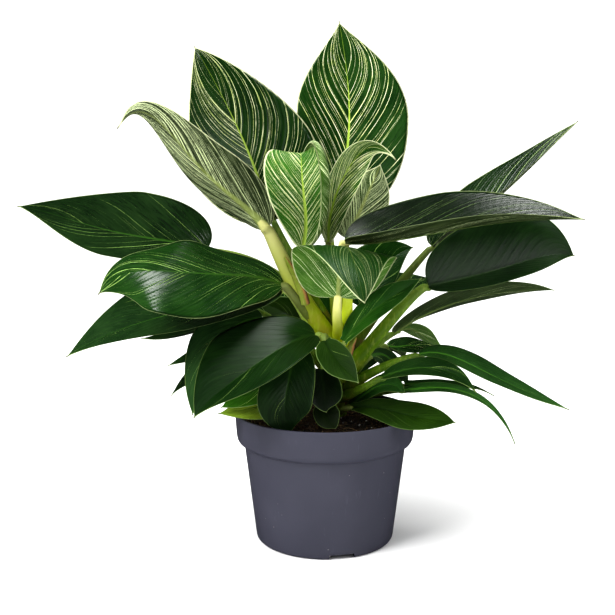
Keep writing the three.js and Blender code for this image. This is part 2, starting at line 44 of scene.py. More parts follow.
# What the sections below share. Materials are built from nodes that work out a number or a
# colour for each spot, and most pieces are a grid that is rolled up into a closed skin.


def connect(socket, value):
    """Sets a node's input to a fixed value, or to what another node gives."""
    if isinstance(value, bpy.types.NodeSocket):
        socket.id_data.links.new(value, socket)
    else:
        socket.default_value = value


def add_node(tree, kind, inputs=None, **settings):
    node = tree.nodes.new("ShaderNode" + kind)
    for key, value in settings.items():
        setattr(node, key, value)
    for key, value in (inputs or {}).items():
        connect(node.inputs[key], value)
    return node


def tree_of(*values):
    """The node tree of the first of these values that comes from a node."""
    return next(value.id_data for value in values if isinstance(value, bpy.types.NodeSocket))


def calc(operation, *values):
    return add_node(tree_of(*values), "Math", dict(enumerate(values)), operation=operation).outputs[0]


def times(value, *factors):
    for factor in factors:
        value = calc("MULTIPLY", value, factor)
    return value


def linear(value, slope, start):
    """The start plus the slope times the value."""
    return calc("MULTIPLY_ADD", value, slope, start)


def fade(value, start, end, low=0.0, high=1.0):
    """Follows a value smoothly from low at start to high at end."""
    limits = {"From Min": start, "From Max": end, "To Min": low, "To Max": high}
    ramp = add_node(value.id_data, "MapRange", {"Value": value, **limits}, interpolation_type="SMOOTHSTEP")
    return ramp.outputs["Result"]


def blend(share, first, second):
    """A colour between two by a share from 0 to 1. A fixed colour is its red, green and blue."""
    mix = add_node(share.id_data, "Mix", {0: share}, data_type="RGBA")
    for index, colour in ((6, first), (7, second)):
        connect(mix.inputs[index], (*colour, 1) if isinstance(colour, tuple) else colour)
    return mix.outputs[2]


def scaled(colour, factor):
    inputs = {0: colour, "Scale": factor}
    return add_node(colour.id_data, "VectorMath", inputs, operation="SCALE").outputs[0]


def triple(x, y, z):
    return add_node(tree_of(x, y, z), "CombineXYZ", {"X": x, "Y": y, "Z": z}).outputs[0]


def drawn_out(place, share):
    """The place with its height cut to a share, which draws out a pattern up and down."""
    return add_node(place.id_data, "Mapping", {"Vector": place, "Scale": (1, 1, share)}).outputs["Vector"]


def noise_of(place, scale, detail=2, roughness=0.5):
    inputs = {"Vector": place, "Scale": scale, "Detail": detail, "Roughness": roughness}
    return add_node(place.id_data, "TexNoise", inputs).outputs["Fac"]


def to_nearest_dot(place, scale):
    """The distance to the nearest of many scattered dots."""
    return add_node(place.id_data, "TexVoronoi", {"Vector": place, "Scale": scale}).outputs["Distance"]


def mark(material, name):
    """A number that the vertices carry."""
    return add_node(material.node_tree, "Attribute", attribute_name=name).outputs["Fac"]


def three_marks(material, name):
    vector = add_node(material.node_tree, "Attribute", attribute_name=name).outputs["Vector"]
    return add_node(material.node_tree, "SeparateXYZ", {"Vector": vector}).outputs


def new_material(name):
    """A new material, and the place of each spot on the piece."""
    material = bpy.data.materials.new(name)
    material.use_nodes = True
    return material, add_node(material.node_tree, "TexCoord").outputs["Object"]


def finished_material(material, relief, strength, depth, inputs):
    """Feeds the material's shader, with a relief that is depth metres deep."""
    tree = material.node_tree
    shader = tree.nodes["Principled BSDF"]
    bump = add_node(tree, "Bump", {"Height": relief, "Strength": strength, "Distance": depth})
    connect(shader.inputs["Normal"], bump.outputs["Normal"])
    for name, value in inputs.items():
        connect(shader.inputs[name], value)
    return material


def curve_at(points, s):
    """The smooth curve through evenly spaced points in millimetres, at a share s of its way."""
    last = len(points) - 1
    spot = Vector((0, 0, 0))
    for i, corner in enumerate(points):
        weight = 1.0
        for j in range(last + 1):
            if j != i:
                weight *= (s * last - j) / (i - j)
        spot += weight * Vector(corner)
    return spot * MM


def curve_direction(points, s, span=0.01):
    return (curve_at(points, s + span) - curve_at(points, s - span)).normalized()


def rolled_skin(bm, place, rows, around, strip=(0, 1)):
    """Rolls a grid into a closed skin. place(v, u) gives the point at a share along and around.

    The end rows come together in a point each. The bake map takes the strip given of its width.
    """
    corners = bmesh.ops.create_grid(bm, x_segments=around, y_segments=rows, size=0.5)["verts"]
    bake_map = bm.loops.layers.uv["OFBake"]
    for face in {f for vert in corners for f in vert.link_faces}:
        for loop in face.loops:
            u = loop.vert.co.x + 0.5
            loop[bake_map].uv = (strip[0] + u * (strip[1] - strip[0]), loop.vert.co.y + 0.5)
    for vert in corners:
        place(vert, vert.co.y + 0.5, vert.co.x + 0.5)
    bmesh.ops.remove_doubles(bm, verts=corners, dist=1e-7)


def finished_piece(name, bm, material, stands_for):
    """Makes an object of a bmesh, with its material, riding on the plant's one body."""
    mesh = bpy.data.meshes.new(name)
    bm.to_mesh(mesh)
    bm.free()
    mesh.materials.append(material)
    mesh.shade_smooth()
    piece = bpy.data.objects.new(name, mesh)
    bpy.context.collection.objects.link(piece)
    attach(piece, "root")
    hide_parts(stands_for)
    return piece


# The camera stands in front, a little above the middle of the plant, and looks slightly down
# on it.
CAMERA_PLACE = (-0.0126, -0.6033, 0.2392)
CAMERA_PITCH = math.radians(6.8)
LENS_MM = 49.76
camera_data = bpy.data.cameras.new("camera")
camera_data.lens = LENS_MM
camera_data.sensor_width = 36
camera = bpy.data.objects.new("camera", camera_data)
camera.location = CAMERA_PLACE
camera.rotation_euler = (math.pi / 2 - CAMERA_PITCH, 0, 0)
bpy.context.collection.objects.link(camera)
bpy.context.scene.camera = camera

# The studio: a white floor and a wide ceiling light, a large soft lamp high on the left and a
# weaker one on the right. Two small lamps are only seen mirrored in the glossy leaves.


def soft_lamp(name, place, aim, width, watts):
    lamp = bpy.data.lights.new(name, "AREA")
    lamp.shape = "RECTANGLE"
    lamp.size = width
    lamp.size_y = width * 1.2
    lamp.energy = watts
    stand = bpy.data.objects.new(name, lamp)
    stand.location = place
    stand.rotation_euler = (Vector(aim) - Vector(place)).to_track_quat("-Z", "Y").to_euler()
    stand.visible_camera = False
    bpy.context.collection.objects.link(stand)
    return stand


def lit_ceiling():
    """Wide, even light from overhead."""
    lamp = bpy.data.lights.new("ceiling", "SUN")
    lamp.energy = 3.0
    lamp.angle = math.radians(75)
    stand = bpy.data.objects.new("ceiling", lamp)
    stand.rotation_euler = (math.radians(-8), math.radians(-10), 0)
    stand.visible_glossy = False
    bpy.context.collection.objects.link(stand)


def dim_room():
    """A room whose walls look white, and light the plant only a little."""
    room = bpy.data.worlds.new("room")
    room.use_nodes = True
    ray = add_node(room.node_tree, "LightPath").outputs
    seen = linear(ray["Is Camera Ray"], 0.97, 0.03)
    walls = room.node_tree.nodes["Background"].inputs
    connect(walls["Color"], (1, 1, 1, 1))
    connect(walls["Strength"], linear(ray["Is Diffuse Ray"], 0.25, seen))
    bpy.context.scene.world = room


def white_floor():
    bm = bmesh.new()
    bmesh.ops.create_grid(bm, x_segments=2, y_segments=2, size=40)
    sheet = bpy.data.meshes.new("white_floor")
    bm.to_mesh(sheet)
    bm.free()
    floor = bpy.data.objects.new("white_floor", sheet)
    bpy.context.collection.objects.link(floor)
    white = bpy.data.materials.new("white_paper")
    white.use_nodes = True
    paint = white.node_tree.nodes["Principled BSDF"]
    paint.inputs["Base Color"].default_value = (0.95, 0.95, 0.95, 1)
    paint.inputs["Roughness"].default_value = 0.95
    paint.inputs["Specular IOR Level"].default_value = 0.0
    floor.data.materials.append(white)
    floor.visible_glossy = False


# A little more contrast and light than plain, for deep greens and bright stripes.
view = bpy.context.scene.view_settings
view.view_transform = "Standard"
view.look = "Medium High Contrast"
view.exposure = 0.25
soft_lamp("lamp_left", (-0.85, -0.7, 0.95), (0, 0, 0.2), width=0.6, watts=15).visible_glossy = False
soft_lamp("lamp_right", (1.0, -0.5, 0.6), (0, 0, 0.2), width=0.5, watts=3.5).visible_glossy = False
soft_lamp("sheen_front", (0, -0.66, 0.48), (0, 0, 0.25), width=0.2, watts=0.9).visible_diffuse = False
soft_lamp("sheen_top", (0.1, -0.17, 1.1), (0, 0, 0.2), width=0.24, watts=4).visible_diffuse = False
lit_ceiling()
dim_room()
white_floor()

# The nursery pot: thin grey-blue polypropylene, moulded in one piece. A tapered wall with a
# thicker band under the rim, a foot ring with three slots, and a floor with drain holes round
# a flat middle.
POT_HEIGHT = 93 * MM
RIM_RADIUS = 65 * MM
BAND_FOOT = 70 * MM
WALL_TOP = 58.4 * MM
BASE_RADIUS = 50.5 * MM
WALL = 1.6 * MM
FOOT_HEIGHT = 4 * MM
PAD_RADIUS = 14 * MM
SLOT_WIDTH = 18 * MM
SLOT_LENGTH = 20 * MM
SLOT_FIRST = -77
DRAIN_RING = 30 * MM
DRAIN_RADIUS = 3.5 * MM
SLOTS = 3
DRAIN_HOLES = 8


def rounded_outline(corners, steps=4):
    """Turns (radius, height, rounding) corners into points, with an arc in place of each corner."""
    points = []
    for i, (r, z, rounding) in enumerate(corners):
        corner = Vector((r, 0, z))
        if rounding == 0:
            points.append(corner)
            continue
        before = (Vector((corners[i - 1][0], 0, corners[i - 1][1])) - corner).normalized()
        after = (Vector((corners[i + 1][0], 0, corners[i + 1][1])) - corner).normalized()
        for k in range(steps + 1):
            u = k / steps
            points.append(corner + rounding * ((1 - u) ** 2 * before + u**2 * after))
    return points


def sort_faces(bm):
    """Some tools leave faces in any order. Sorted along a slant, they are the same each time."""
    bm.faces.sort(key=lambda face: face.calc_center_median().dot((1, 0.37, 0.113)))


def turned_shell(outline, segments):
    """A closed shell of revolution from an outline that starts and ends on the axis."""
    bm = bmesh.new()
    corners = [bm.verts.new(p) for p in outline]
    edges = [bm.edges.new(pair) for pair in zip(corners, corners[1:])]
    bmesh.ops.spin(bm, geom=corners + edges, cent=(0, 0, 0), axis=(0, 0, 1),
                   angle=2 * math.pi, steps=segments, use_merge=True)
    bmesh.ops.remove_doubles(bm, verts=bm.verts, dist=1e-6)
    bmesh.ops.recalc_face_normals(bm, faces=bm.faces)
    sort_faces(bm)
    return bm


def pot_outline():
    inner = WALL_TOP - WALL
    return rounded_outline([
        (0, 0, 0),
        (PAD_RADIUS, 0, 0.8 * MM),
        (PAD_RADIUS + 2 * MM, FOOT_HEIGHT, 0.8 * MM),
        (BASE_RADIUS - 8 * MM, FOOT_HEIGHT, 0.8 * MM),
        (BASE_RADIUS - 6 * MM, 0, 0.6 * MM),
        (BASE_RADIUS - 0.8 * MM, 0, 2.4 * MM),
        (WALL_TOP, BAND_FOOT, 0.8 * MM),
        (WALL_TOP + 4.8 * MM, BAND_FOOT + 1.6 * MM, 3.6 * MM),
        (RIM_RADIUS - 0.9 * MM, BAND_FOOT + 9 * MM, 3 * MM),
        (RIM_RADIUS, POT_HEIGHT, 0.8 * MM),
        (RIM_RADIUS - WALL, POT_HEIGHT, 0.7 * MM),
        (RIM_RADIUS - WALL - 0.8 * MM, BAND_FOOT + 9 * MM, 3 * MM),
        (inner + 2.6 * MM, BAND_FOOT + 2.4 * MM, 2 * MM),
        (inner, BAND_FOOT, 0.8 * MM),
        (BASE_RADIUS - WALL - 0.8 * MM, FOOT_HEIGHT + WALL, 2 * MM),
        (0, FOOT_HEIGHT + WALL, 0),
    ])


def pot_cutters():
    """The slots in the foot ring and the drain holes, as one mesh of solids to take away."""
    bm = bmesh.new()
    for k in range(SLOTS):
        others = set(bm.verts)
        slot = bmesh.ops.create_cube(bm, size=1)["verts"]
        bmesh.ops.scale(bm, verts=slot, vec=(SLOT_LENGTH, SLOT_WIDTH, 2 * FOOT_HEIGHT - 0.8 * MM))
        bmesh.ops.translate(bm, verts=slot, vec=(BASE_RADIUS - 2 * MM, 0, 0))
        corners = [e for e in bm.edges if not others.intersection(e.verts)
                   and min(v.co.z for v in e.verts) > 0
                   and abs(e.verts[0].co.y - e.verts[1].co.y) < 1e-6]
        bmesh.ops.bevel(bm, geom=corners, offset=1.6 * MM, segments=4, profile=0.5,
                        affect="EDGES", material=-1)
        turn = Matrix.Rotation(math.radians(SLOT_FIRST + 360 / SLOTS * k), 3, "Z")
        slot = [v for v in bm.verts if v not in others]
        bmesh.ops.rotate(bm, verts=slot, cent=(0, 0, 0), matrix=turn)
    for k in range(DRAIN_HOLES):
        angle = 2 * math.pi * k / DRAIN_HOLES
        hole = bmesh.ops.create_cone(bm, cap_ends=True, segments=24, radius1=DRAIN_RADIUS,
                                     radius2=DRAIN_RADIUS, depth=4 * FOOT_HEIGHT)["verts"]
        centre = (DRAIN_RING * math.cos(angle), DRAIN_RING * math.sin(angle), 0)
        bmesh.ops.translate(bm, verts=hole, vec=centre)
    return bm


def cut_away(piece, cutters):
    """Takes a bmesh of solids away from a piece, and leaves no modifier on it."""
    sort_faces(cutters)
    mesh = bpy.data.meshes.new("cutters")
    cutters.to_mesh(mesh)
    cutters.free()
    tool = bpy.data.objects.new("cutters", mesh)
    bpy.context.collection.objects.link(tool)
    cut = piece.modifiers.new("cut", "BOOLEAN")
    cut.operation = "DIFFERENCE"
    cut.solver = "EXACT"
    cut.object = tool
    shaped = piece.evaluated_get(bpy.context.evaluated_depsgraph_get())
    result = bpy.data.meshes.new_from_object(shaped)
    piece.modifiers.clear()
    piece.data = result
    bpy.data.objects.remove(tool)


def pot_plastic():
    """Grey-blue plastic, matt with a faint sheen, handled and a little dusty."""
    material, place = new_material("pot_plastic")
    cloudy = noise_of(place, 28, 4, 0.6)
    colour = blend(cloudy, (0.046, 0.047, 0.067), (0.066, 0.066, 0.091))
    # Scuffs run mostly up and down, because pots are pulled out of a stack.
    scuffs = fade(noise_of(drawn_out(place, 0.09), 420, 3, 0.7), 0.6, 0.78)
    wear = times(scuffs, fade(noise_of(place, 45), 0.5, 0.7))
    colour = blend(times(wear, 0.35), colour, (0.16, 0.17, 0.21))
    dust = fade(to_nearest_dot(place, 210), 0.09, 0.04)
    grains = times(dust, fade(noise_of(place, 75, 0), 0.62, 0.68))
    colour = blend(grains, colour, (0.32, 0.31, 0.3))
    relief = calc("ADD", noise_of(place, 900), wear)
    return finished_material(material, relief, 0.25, 0.2 * MM, {
        "Base Color": colour,
        "Roughness": fade(cloudy, 0.3, 0.7, 0.46, 0.58),
        "Specular IOR Level": 0.3,
    })


pot = finished_piece("nursery_pot", turned_shell(pot_outline(), segments=144), pot_plastic(), "pot")
cut_away(pot, pot_cutters())
pot.data.shade_smooth()
pot.data.set_sharp_from_angle(angle=math.radians(40))

# The potting peat: dark, crumbly and a little mounded round the trunk, with coarse fibres,
# bits of bark and a few grains of perlite lying on it.
PEAT_EDGE = 83 * MM
PEAT_MOUND = 5 * MM
PEAT_RADIUS = 62 * MM
CRUMBS = 900
PERLITE_GRAINS = 26
FIBRES = 90
random.seed(7)
noise.seed_set(7)


def peat_height(x, y):
    share = max(0.0, 1 - math.hypot(x, y) / PEAT_RADIUS)
    rise = PEAT_EDGE + PEAT_MOUND * math.sin(math.pi / 2 * share)
    lumps = 1.3 * noise.noise(Vector((x, y, 0.3)) * 110) + 0.7 * noise.noise(Vector((x, y, 0.9)) * 330)
    return rise + lumps * MM * min(1.0, 6 * share + 0.15)


def peat_body():
    rings = 30
    outline = [Vector((0, 0, FOOT_HEIGHT + WALL + 0.3 * MM)),
               Vector((BASE_RADIUS - WALL - 2.6 * MM, 0, FOOT_HEIGHT + WALL + 0.3 * MM)),
               Vector((WALL_TOP - WALL - 0.6 * MM, 0, BAND_FOOT)),
               Vector((WALL_TOP - WALL + 0.9 * MM, 0, BAND_FOOT + 2.4 * MM))]
    outline += [Vector((PEAT_RADIUS * (1 - k / rings), 0, PEAT_EDGE)) for k in range(rings + 1)]
    bm = turned_shell(outline, segments=96)
    for vert in bm.verts:
        if vert.co.z > PEAT_EDGE - 0.1 * MM:
            vert.co.z = peat_height(vert.co.x, vert.co.y)
    return bm


def scattered_spot():
    reach = PEAT_RADIUS * 0.985 * math.sqrt(random.random())
    turn = random.uniform(0, 2 * math.pi)
    return reach * math.cos(turn), reach * math.sin(turn)


def crumbs(count, smallest, largest, tints):
    """Small angular bits that lie half sunk in the peat, each with a tint of its own."""
    bm = bmesh.new()
    tint = bm.verts.layers.float.new("tint")
    for _ in range(count):
        x, y = scattered_spot()
        size = random.uniform(smallest, largest)
        at = Matrix.Translation((x, y, peat_height(x, y) + 0.15 * size))
        stretch = Matrix.Diagonal((random.uniform(0.6, 1.5), random.uniform(0.6, 1.5), 0.7, 1))
        turn = Quaternion(noise.random_unit_vector(), random.uniform(0, 3)).to_matrix().to_4x4()
        grain = bmesh.ops.create_icosphere(bm, subdivisions=1, radius=size,
                                           matrix=at @ turn @ stretch)["verts"]
        own_tint = random.uniform(*tints)
        for vert in grain:
            vert[tint] = own_tint
            vert.co += noise.noise_vector(vert.co * 900) * 0.25 * size
    return bm


def fibres():
    """Fine pale root and coir fibres that curl over the peat."""
    bm = bmesh.new()
    bm.loops.layers.uv.new("OFBake")
    tint = bm.verts.layers.float.new("tint")
    for k in range(FIBRES):
        x, y = scattered_spot()
        x, y = 0.9 * x, 0.9 * y
        heading = random.uniform(0, 2 * math.pi)
        bend = random.uniform(-1.6, 1.6)
        length = random.uniform(4, 13) * MM
        girth = random.uniform(0.12, 0.3) * MM
        own_tint = random.uniform(0.3, 1)

        def place(vert, v, u):
            turn = heading + bend * v
            px = x + length * v * math.cos(turn)
            py = y + length * v * math.sin(turn)
            hump = 0.9 * MM * math.sin(math.pi * v)
            radius = girth * math.sin(math.pi * v) ** 0.5
            out = Vector((-math.sin(turn), math.cos(turn), 0)) * math.cos(2 * math.pi * u)
            out.z = math.sin(2 * math.pi * u)
            vert.co = Vector((px, py, peat_height(px, py) + hump)) + radius * out
            vert[tint] = own_tint

        rolled_skin(bm, place, rows=7, around=4, strip=(k / FIBRES, (k + 0.8) / FIBRES))
    return bm


def crumb_material(name, dark, light, roughness):
    """Earthy colour that varies from crumb to crumb and within each."""
    material, place = new_material(name)
    mottle = noise_of(place, 900, 4, 0.7)
    share = times(calc("ADD", fade(mottle, 0.3, 0.7), 0.6), mark(material, "tint"))
    inputs = {"Base Color": blend(share, dark, light), "Roughness": roughness}
    return finished_material(material, mottle, 0.7, 0.5 * MM, inputs)


def peat_ground():
    """The peat itself: nearly black where damp, browner and fibrous where dry."""
    material, place = new_material("peat_ground")
    coarse = noise_of(place, 160, 6, 0.7)
    fine = to_nearest_dot(place, 520)
    colour = blend(fade(coarse, 0.35, 0.7), (0.011, 0.007, 0.005), (0.06, 0.035, 0.02))
    colour = blend(fade(fine, 0.6, 0.1, 0, 0.4), colour, (0.09, 0.055, 0.03))
    inputs = {"Base Color": colour, "Roughness": 0.95}
    return finished_material(material, calc("SUBTRACT", coarse, fine), 0.9, 1.2 * MM, inputs)


peat = finished_piece("peat", peat_body(), peat_ground(), "soil")
peat_crumbs = finished_piece(
    "peat_crumbs", crumbs(CRUMBS, 0.5 * MM, 1.5 * MM, (0, 0.5)),
    crumb_material("peat_crumb", (0.012, 0.007, 0.005), (0.2, 0.12, 0.06), 0.9), "soil")
perlite = finished_piece(
    "perlite", crumbs(PERLITE_GRAINS, 0.5 * MM, 1.1 * MM, (0.3, 0.5)),
    crumb_material("perlite_grain", (0.5, 0.47, 0.42), (0.75, 0.73, 0.7), 0.8), "soil")
peat_fibres = finished_piece(
    "peat_fibres", fibres(),
    crumb_material("peat_fibre", (0.05, 0.03, 0.015), (0.3, 0.2, 0.1), 0.8), "soil")

# How the plant has grown, in millimetres and degrees: one leaf after the other. A pair holds a
# value for each half of a blade, first the one on the t = -1 side and then the t = +1 side.
#   root, bend, stalk    height on the trunk, the point that the stalk leans to, its two girths
#   rib, side            five points that the midrib passes through, the way to the t = +1 side
#   width, fold, curl    greatest width, the slope of a half, and what is added at its margin
#   peak, base, tip      where a half is widest, and how full it is before and after that
#   roll, wave, lobe     how late the curl starts, the margin's waves, the heart shape at the base
#   lead                 how far before the blade the stalk turns into its line
#   stripes, youth, yellow, pale_stalk    how much of each the leaf shows, from 0 to 1
#   shade, under_shade, stalk_shade
#                                         what the colours of its faces and stalk are scaled by: partly
#                                         their own tone, partly painted light, shade and sheen
COMMON_GROWTH = {
    "stalk": (3, 1.6), "fold": 12, "curl": 0, "roll": 1, "peak": 0.42, "base": 2.4, "tip": 1.8,
    "wave": 0, "lobe": 0.16, "lead": 10, "stripes": 0.03, "youth": 0.12, "yellow": 0,
    "pale_stalk": 0.2, "shade": 1, "under_shade": 1, "stalk_shade": 1,
}
leaves = []


def grow(name, **growth):
    leaves.append({**COMMON_GROWTH, "name": name, **growth})


grow("crown_right", root=146, bend=(6, 10, 201), stalk=(4.5, 2.2), side=(1, 0.2, 0),
     rib=[(4, 20, 238), (15, 26, 272), (18, 34, 307), (16, 42, 340), (11, 50, 375)], width=(86, 88),
     fold=10, curl=6, peak=0.48, tip=1.85, stripes=0.64, pale_stalk=0.35, shade=1.25)
grow("crown_left", root=138, bend=(-23, 1, 200), stalk=(4.5, 2.2), side=(0.9, 0, 0.42),
     rib=[(-37, 6, 229), (-47, 8, 257), (-58, 12, 285), (-75, 18, 320), (-94, 28, 353)], width=(88, 94),
     fold=4, curl=6, peak=(0.42, 0.38), base=(1.6, 2.4), tip=1.6, stripes=0.63, pale_stalk=0.1, shade=0.68)
grow("pale_left", root=132, bend=(-27, -10, 185), stalk=(7, 4), side=(-0.58, 0.15, -0.73),
     rib=[(-41, -14, 224), (-66, -24, 248), (-88, -38, 270), (-109, -50, 294), (-130, -66, 288)],
     width=(58, 52), fold=45, curl=10, peak=0.28, tip=1.5, stripes=0.78, youth=0.4, yellow=0.05,
     pale_stalk=0.8, under_shade=0.36, stalk_shade=0.85)
grow("curled_centre", root=146, bend=(-36, -9, 186), stalk=(4, 2.2), side=(1, 0, 0),
     rib=[(-16, -14, 210), (-14, -22, 235), (-16, -28, 256), (-17, -23, 273), (-20, -7, 265)],
     width=(52, 64), fold=(12, 5), curl=(10, 262), roll=(1, 3.2), peak=(0.56, 0.5), base=(1.4, 1.35),
     tip=(2.4, 2), stripes=0.8, youth=0.75, yellow=0.05, pale_stalk=0.4, shade=0.9, under_shade=0.9,
     stalk_shade=0.25)
grow("curled_right", root=148, bend=(5, -6, 180), stalk=(4, 2), side=(1, 0, -0.3),
     rib=[(2, -8, 214), (4, -12, 237), (12, -20, 259), (26, -26, 277), (45, -36, 270)], width=(34, 30),
     fold=35, curl=20, peak=(0.62, 0.5), base=(1.6, 2), stripes=0.85, youth=0.5, pale_stalk=0.4, shade=1.1,
     stalk_shade=0.6)
grow("spear_right", root=150, bend=(14, -6, 180), stalk=(3.5, 1.8), side=(-1, 0, -0.3),
     rib=[(16, -8, 217), (22, -7, 231), (29, -6, 247), (34, -5, 258), (38, -6, 268)], width=36, fold=15,
     curl=10, stripes=0.75, youth=0.7, yellow=0.05, pale_stalk=0.5, under_shade=0.5)
grow("front_centre", root=140, bend=(7, -24, 163), stalk=(4, 2.6), side=(-1, 0, -0.24),
     rib=[(8, -30, 178), (9, -34, 198), (12, -52, 213), (17, -78, 202), (22, -92, 181)], width=(72, 68),
     fold=(2, -8), curl=(0, -8), peak=(0.45, 0.42), base=2, tip=1.3, stripes=0.44, youth=0.5, pale_stalk=1,
     shade=0.42, under_shade=1.85, stalk_shade=1.15)
grow("right_long", root=134, bend=(23, -27, 188), stalk=(4.5, 1.9), side=(0, -0.95, -0.3),
     rib=[(12, -34, 216), (49, -38, 218), (88, -46, 225), (126, -56, 230), (161, -66, 231)],
     width=(66, 60), fold=32, lead=8, stripes=0.26, youth=0.05, pale_stalk=0.9, shade=0.4, under_shade=1.1,
     stalk_shade=1.8)
grow("right_back", root=128, bend=(45, 20, 170), stalk=(4.5, 2.2), side=(0.28, -0.95, -0.15),
     rib=[(81, 36, 209), (110, 42, 230), (138, 50, 251), (167, 58, 277), (196, 66, 304)], width=56,
     fold=28, peak=0.4, tip=1.45, stripes=0.3, youth=0.08, shade=0.75, stalk_shade=0.6)
grow("right_big", root=112, bend=(41, -12, 154), stalk=(5.5, 2.6), side=(0, -0.7, -0.7),
     rib=[(71, -16, 184), (98, -18, 190), (125, -22, 198), (147, -26, 205), (167, -30, 206)],
     width=(78, 50), fold=30, peak=0.55, tip=2.4, stripes=0.01, youth=0.08, pale_stalk=0.12, shade=0.85)
grow("right_pale", root=116, bend=(32, 16, 130), stalk=(4, 2), side=(0, -0.93, 0.36),
     rib=[(50, 16, 147), (78, 20, 162), (108, 26, 171), (141, 32, 176), (174, 38, 176)], width=(50, 74),
     fold=8, curl=-10, peak=(0.4, 0.3), base=(2.4, 2), stripes=0.1, youth=0.1, pale_stalk=0.1,
     under_shade=1.35)
grow("right_narrow", root=124, bend=(11, -18, 135), stalk=(3.5, 1.8), side=(0.45, -0.7, -0.45),
     rib=[(13, -22, 146), (25, -26, 162), (39, -30, 174), (52, -32, 183), (64, -34, 191)], width=22,
     fold=15, peak=0.5, stripes=0.04, youth=0.15, pale_stalk=0.3, shade=1.75, stalk_shade=0.8)
grow("right_low", root=106, bend=(42, -14, 130), stalk=(4, 2), side=(0.1, -0.97, -0.2),
     rib=[(65, -22, 137), (87, -26, 136), (110, -32, 126), (136, -38, 114), (162, -46, 104)],
     width=(32, 28), fold=10, curl=-8, youth=0.02, pale_stalk=0.08, shade=3.8, stalk_shade=0.75)
grow("right_low_short", root=100, bend=(28, -28, 115), stalk=(3.5, 1.8), side=(0, -0.95, -0.3),
     rib=[(38, -38, 124), (54, -42, 130), (71, -47, 132), (86, -52, 128), (98, -56, 118)], width=(22, 26),
     youth=0.05, pale_stalk=0.08, shade=1.5, stalk_shade=0.85)
grow("right_long_thin", root=96, bend=(34, -2, 105), stalk=(2.5, 1.4), side=(0, -0.9, -0.4),
     rib=[(55, -2, 107), (76, -2, 109), (101, -3, 106), (123, -4, 92), (137, -6, 69)], width=13, fold=10,
     peak=0.35, stripes=0, youth=0.02, pale_stalk=0.08, shade=7.2, stalk_shade=0.6)
grow("right_thin_tip", root=98, bend=(35, 8, 105), stalk=(2.5, 1.4), side=(0, -0.9, -0.4),
     rib=[(59, 10, 109), (76, 12, 109), (93, 14, 108), (109, 16, 106), (126, 18, 99)], width=11, fold=10,
     peak=0.4, stripes=0, youth=0.02, pale_stalk=0.08, shade=2.2, stalk_shade=0.6)
grow("right_front_low", root=92, bend=(16, -14, 96), stalk=(3, 1.8), side=(0.1, -0.9, -0.4),
     rib=[(19, -20, 99), (38, -28, 100), (54, -37, 98), (70, -46, 97), (85, -54, 97)], width=(24, 33),
     peak=0.58, base=1.6, tip=2.2, youth=0.3, yellow=0.1, pale_stalk=0.3, shade=0.62, stalk_shade=0.9)
grow("right_small_arch", root=90, bend=(14, -2, 93), stalk=(2.5, 1.4), side=(0, -0.85, -0.5),
     rib=[(18, -4, 97), (29, -8, 106), (40, -11, 113), (49, -14, 113), (56, -16, 109)], width=20,
     peak=0.55, stripes=0, youth=0.05, pale_stalk=0.3, shade=3)
grow("back_right_pale", root=112, bend=(34, 34, 134), side=(0, -0.97, 0.1),
     rib=[(57, 44, 144), (67, 50, 145), (76, 54, 140), (85, 60, 133), (96, 66, 127)], width=(28, 22),
     fold=8, peak=0.4, stripes=0.1, youth=0.15, under_shade=3.6)
grow("back_right_broad", root=108, bend=(33, 22, 125), side=(0, -0.95, -0.2),
     rib=[(48, 26, 135), (59, 30, 134), (70, 34, 134), (83, 38, 131), (94, 42, 128)], width=(24, 32),
     fold=8, peak=0.4, stripes=0.1, youth=0, shade=4.4)
grow("back_right_dark", root=102, bend=(26, 8, 122), side=(0.2, -0.6, -0.75),
     rib=[(34, 5, 131), (43, 10, 131), (50, 12, 126), (57, 14, 119), (62, 16, 110)], width=(14, 34),
     fold=6, peak=0.5, tip=2.4, stripes=0.05, youth=0, shade=2.3)
grow("left_upper", root=130, bend=(-24, 18, 206), stalk=(4.5, 2.2), side=(0, 0.7, 0.7),
     rib=[(-84, 3, 208), (-118, 7, 215), (-153, 12, 221), (-187, 17, 230), (-224, 23, 239)],
     width=(64, 75), fold=15, peak=(0.46, 0.42), tip=1.5, stripes=0.12, youth=0, shade=1.25)
grow("left_glossy", root=126, bend=(-10, -4, 158), stalk=(5, 3), side=(-0.2, 0.78, 0.6),
     rib=[(-30, -15, 185), (-60, -31, 193), (-89, -50, 196), (-118, -62, 198), (-143, -74, 185)],
     width=(74, 72), fold=-8, peak=(0.64, 0.45), base=(1.5, 2.4), tip=(2.2, 1.8), wave=2.5, stripes=0.19,
     youth=0.08, pale_stalk=0.35, shade=1.45, stalk_shade=0.5)
grow("left_under", root=120, bend=(-12, -6, 152), stalk=(4.5, 2.2), side=(0, 0.9, 0.44),
     rib=[(-31, -10, 181), (-68, -16, 174), (-104, -24, 166), (-139, -32, 156), (-174, -40, 139)],
     width=(68, 80), fold=(10, 14), peak=(0.44, 0.5), base=(2.4, 1.3), tip=1.6, stripes=0.08, youth=0,
     pale_stalk=0.3, shade=2.3, stalk_shade=1.6)
grow("left_shadow", root=116, bend=(-25, 10, 148), stalk=(3.5, 1.8), side=(0, 1, 0.1),
     rib=[(-55, 14, 163), (-74, 20, 155), (-94, 26, 148), (-116, 32, 142), (-139, 38, 139)], width=46,
     fold=8, peak=0.4, stripes=0.05, youth=0.1, pale_stalk=0.1, shade=0.5)
grow("front_left_big", root=114, bend=(1, -26, 141), stalk=(4, 2), side=(-0.57, 0.68, 0.44),
     rib=[(-7, -36, 153), (-28, -48, 147), (-49, -60, 135), (-68, -70, 122), (-84, -80, 107)],
     width=(46, 70), peak=(0.44, 0.52), base=(2.4, 1.9), tip=1.6, stripes=0.04, shade=0.66)
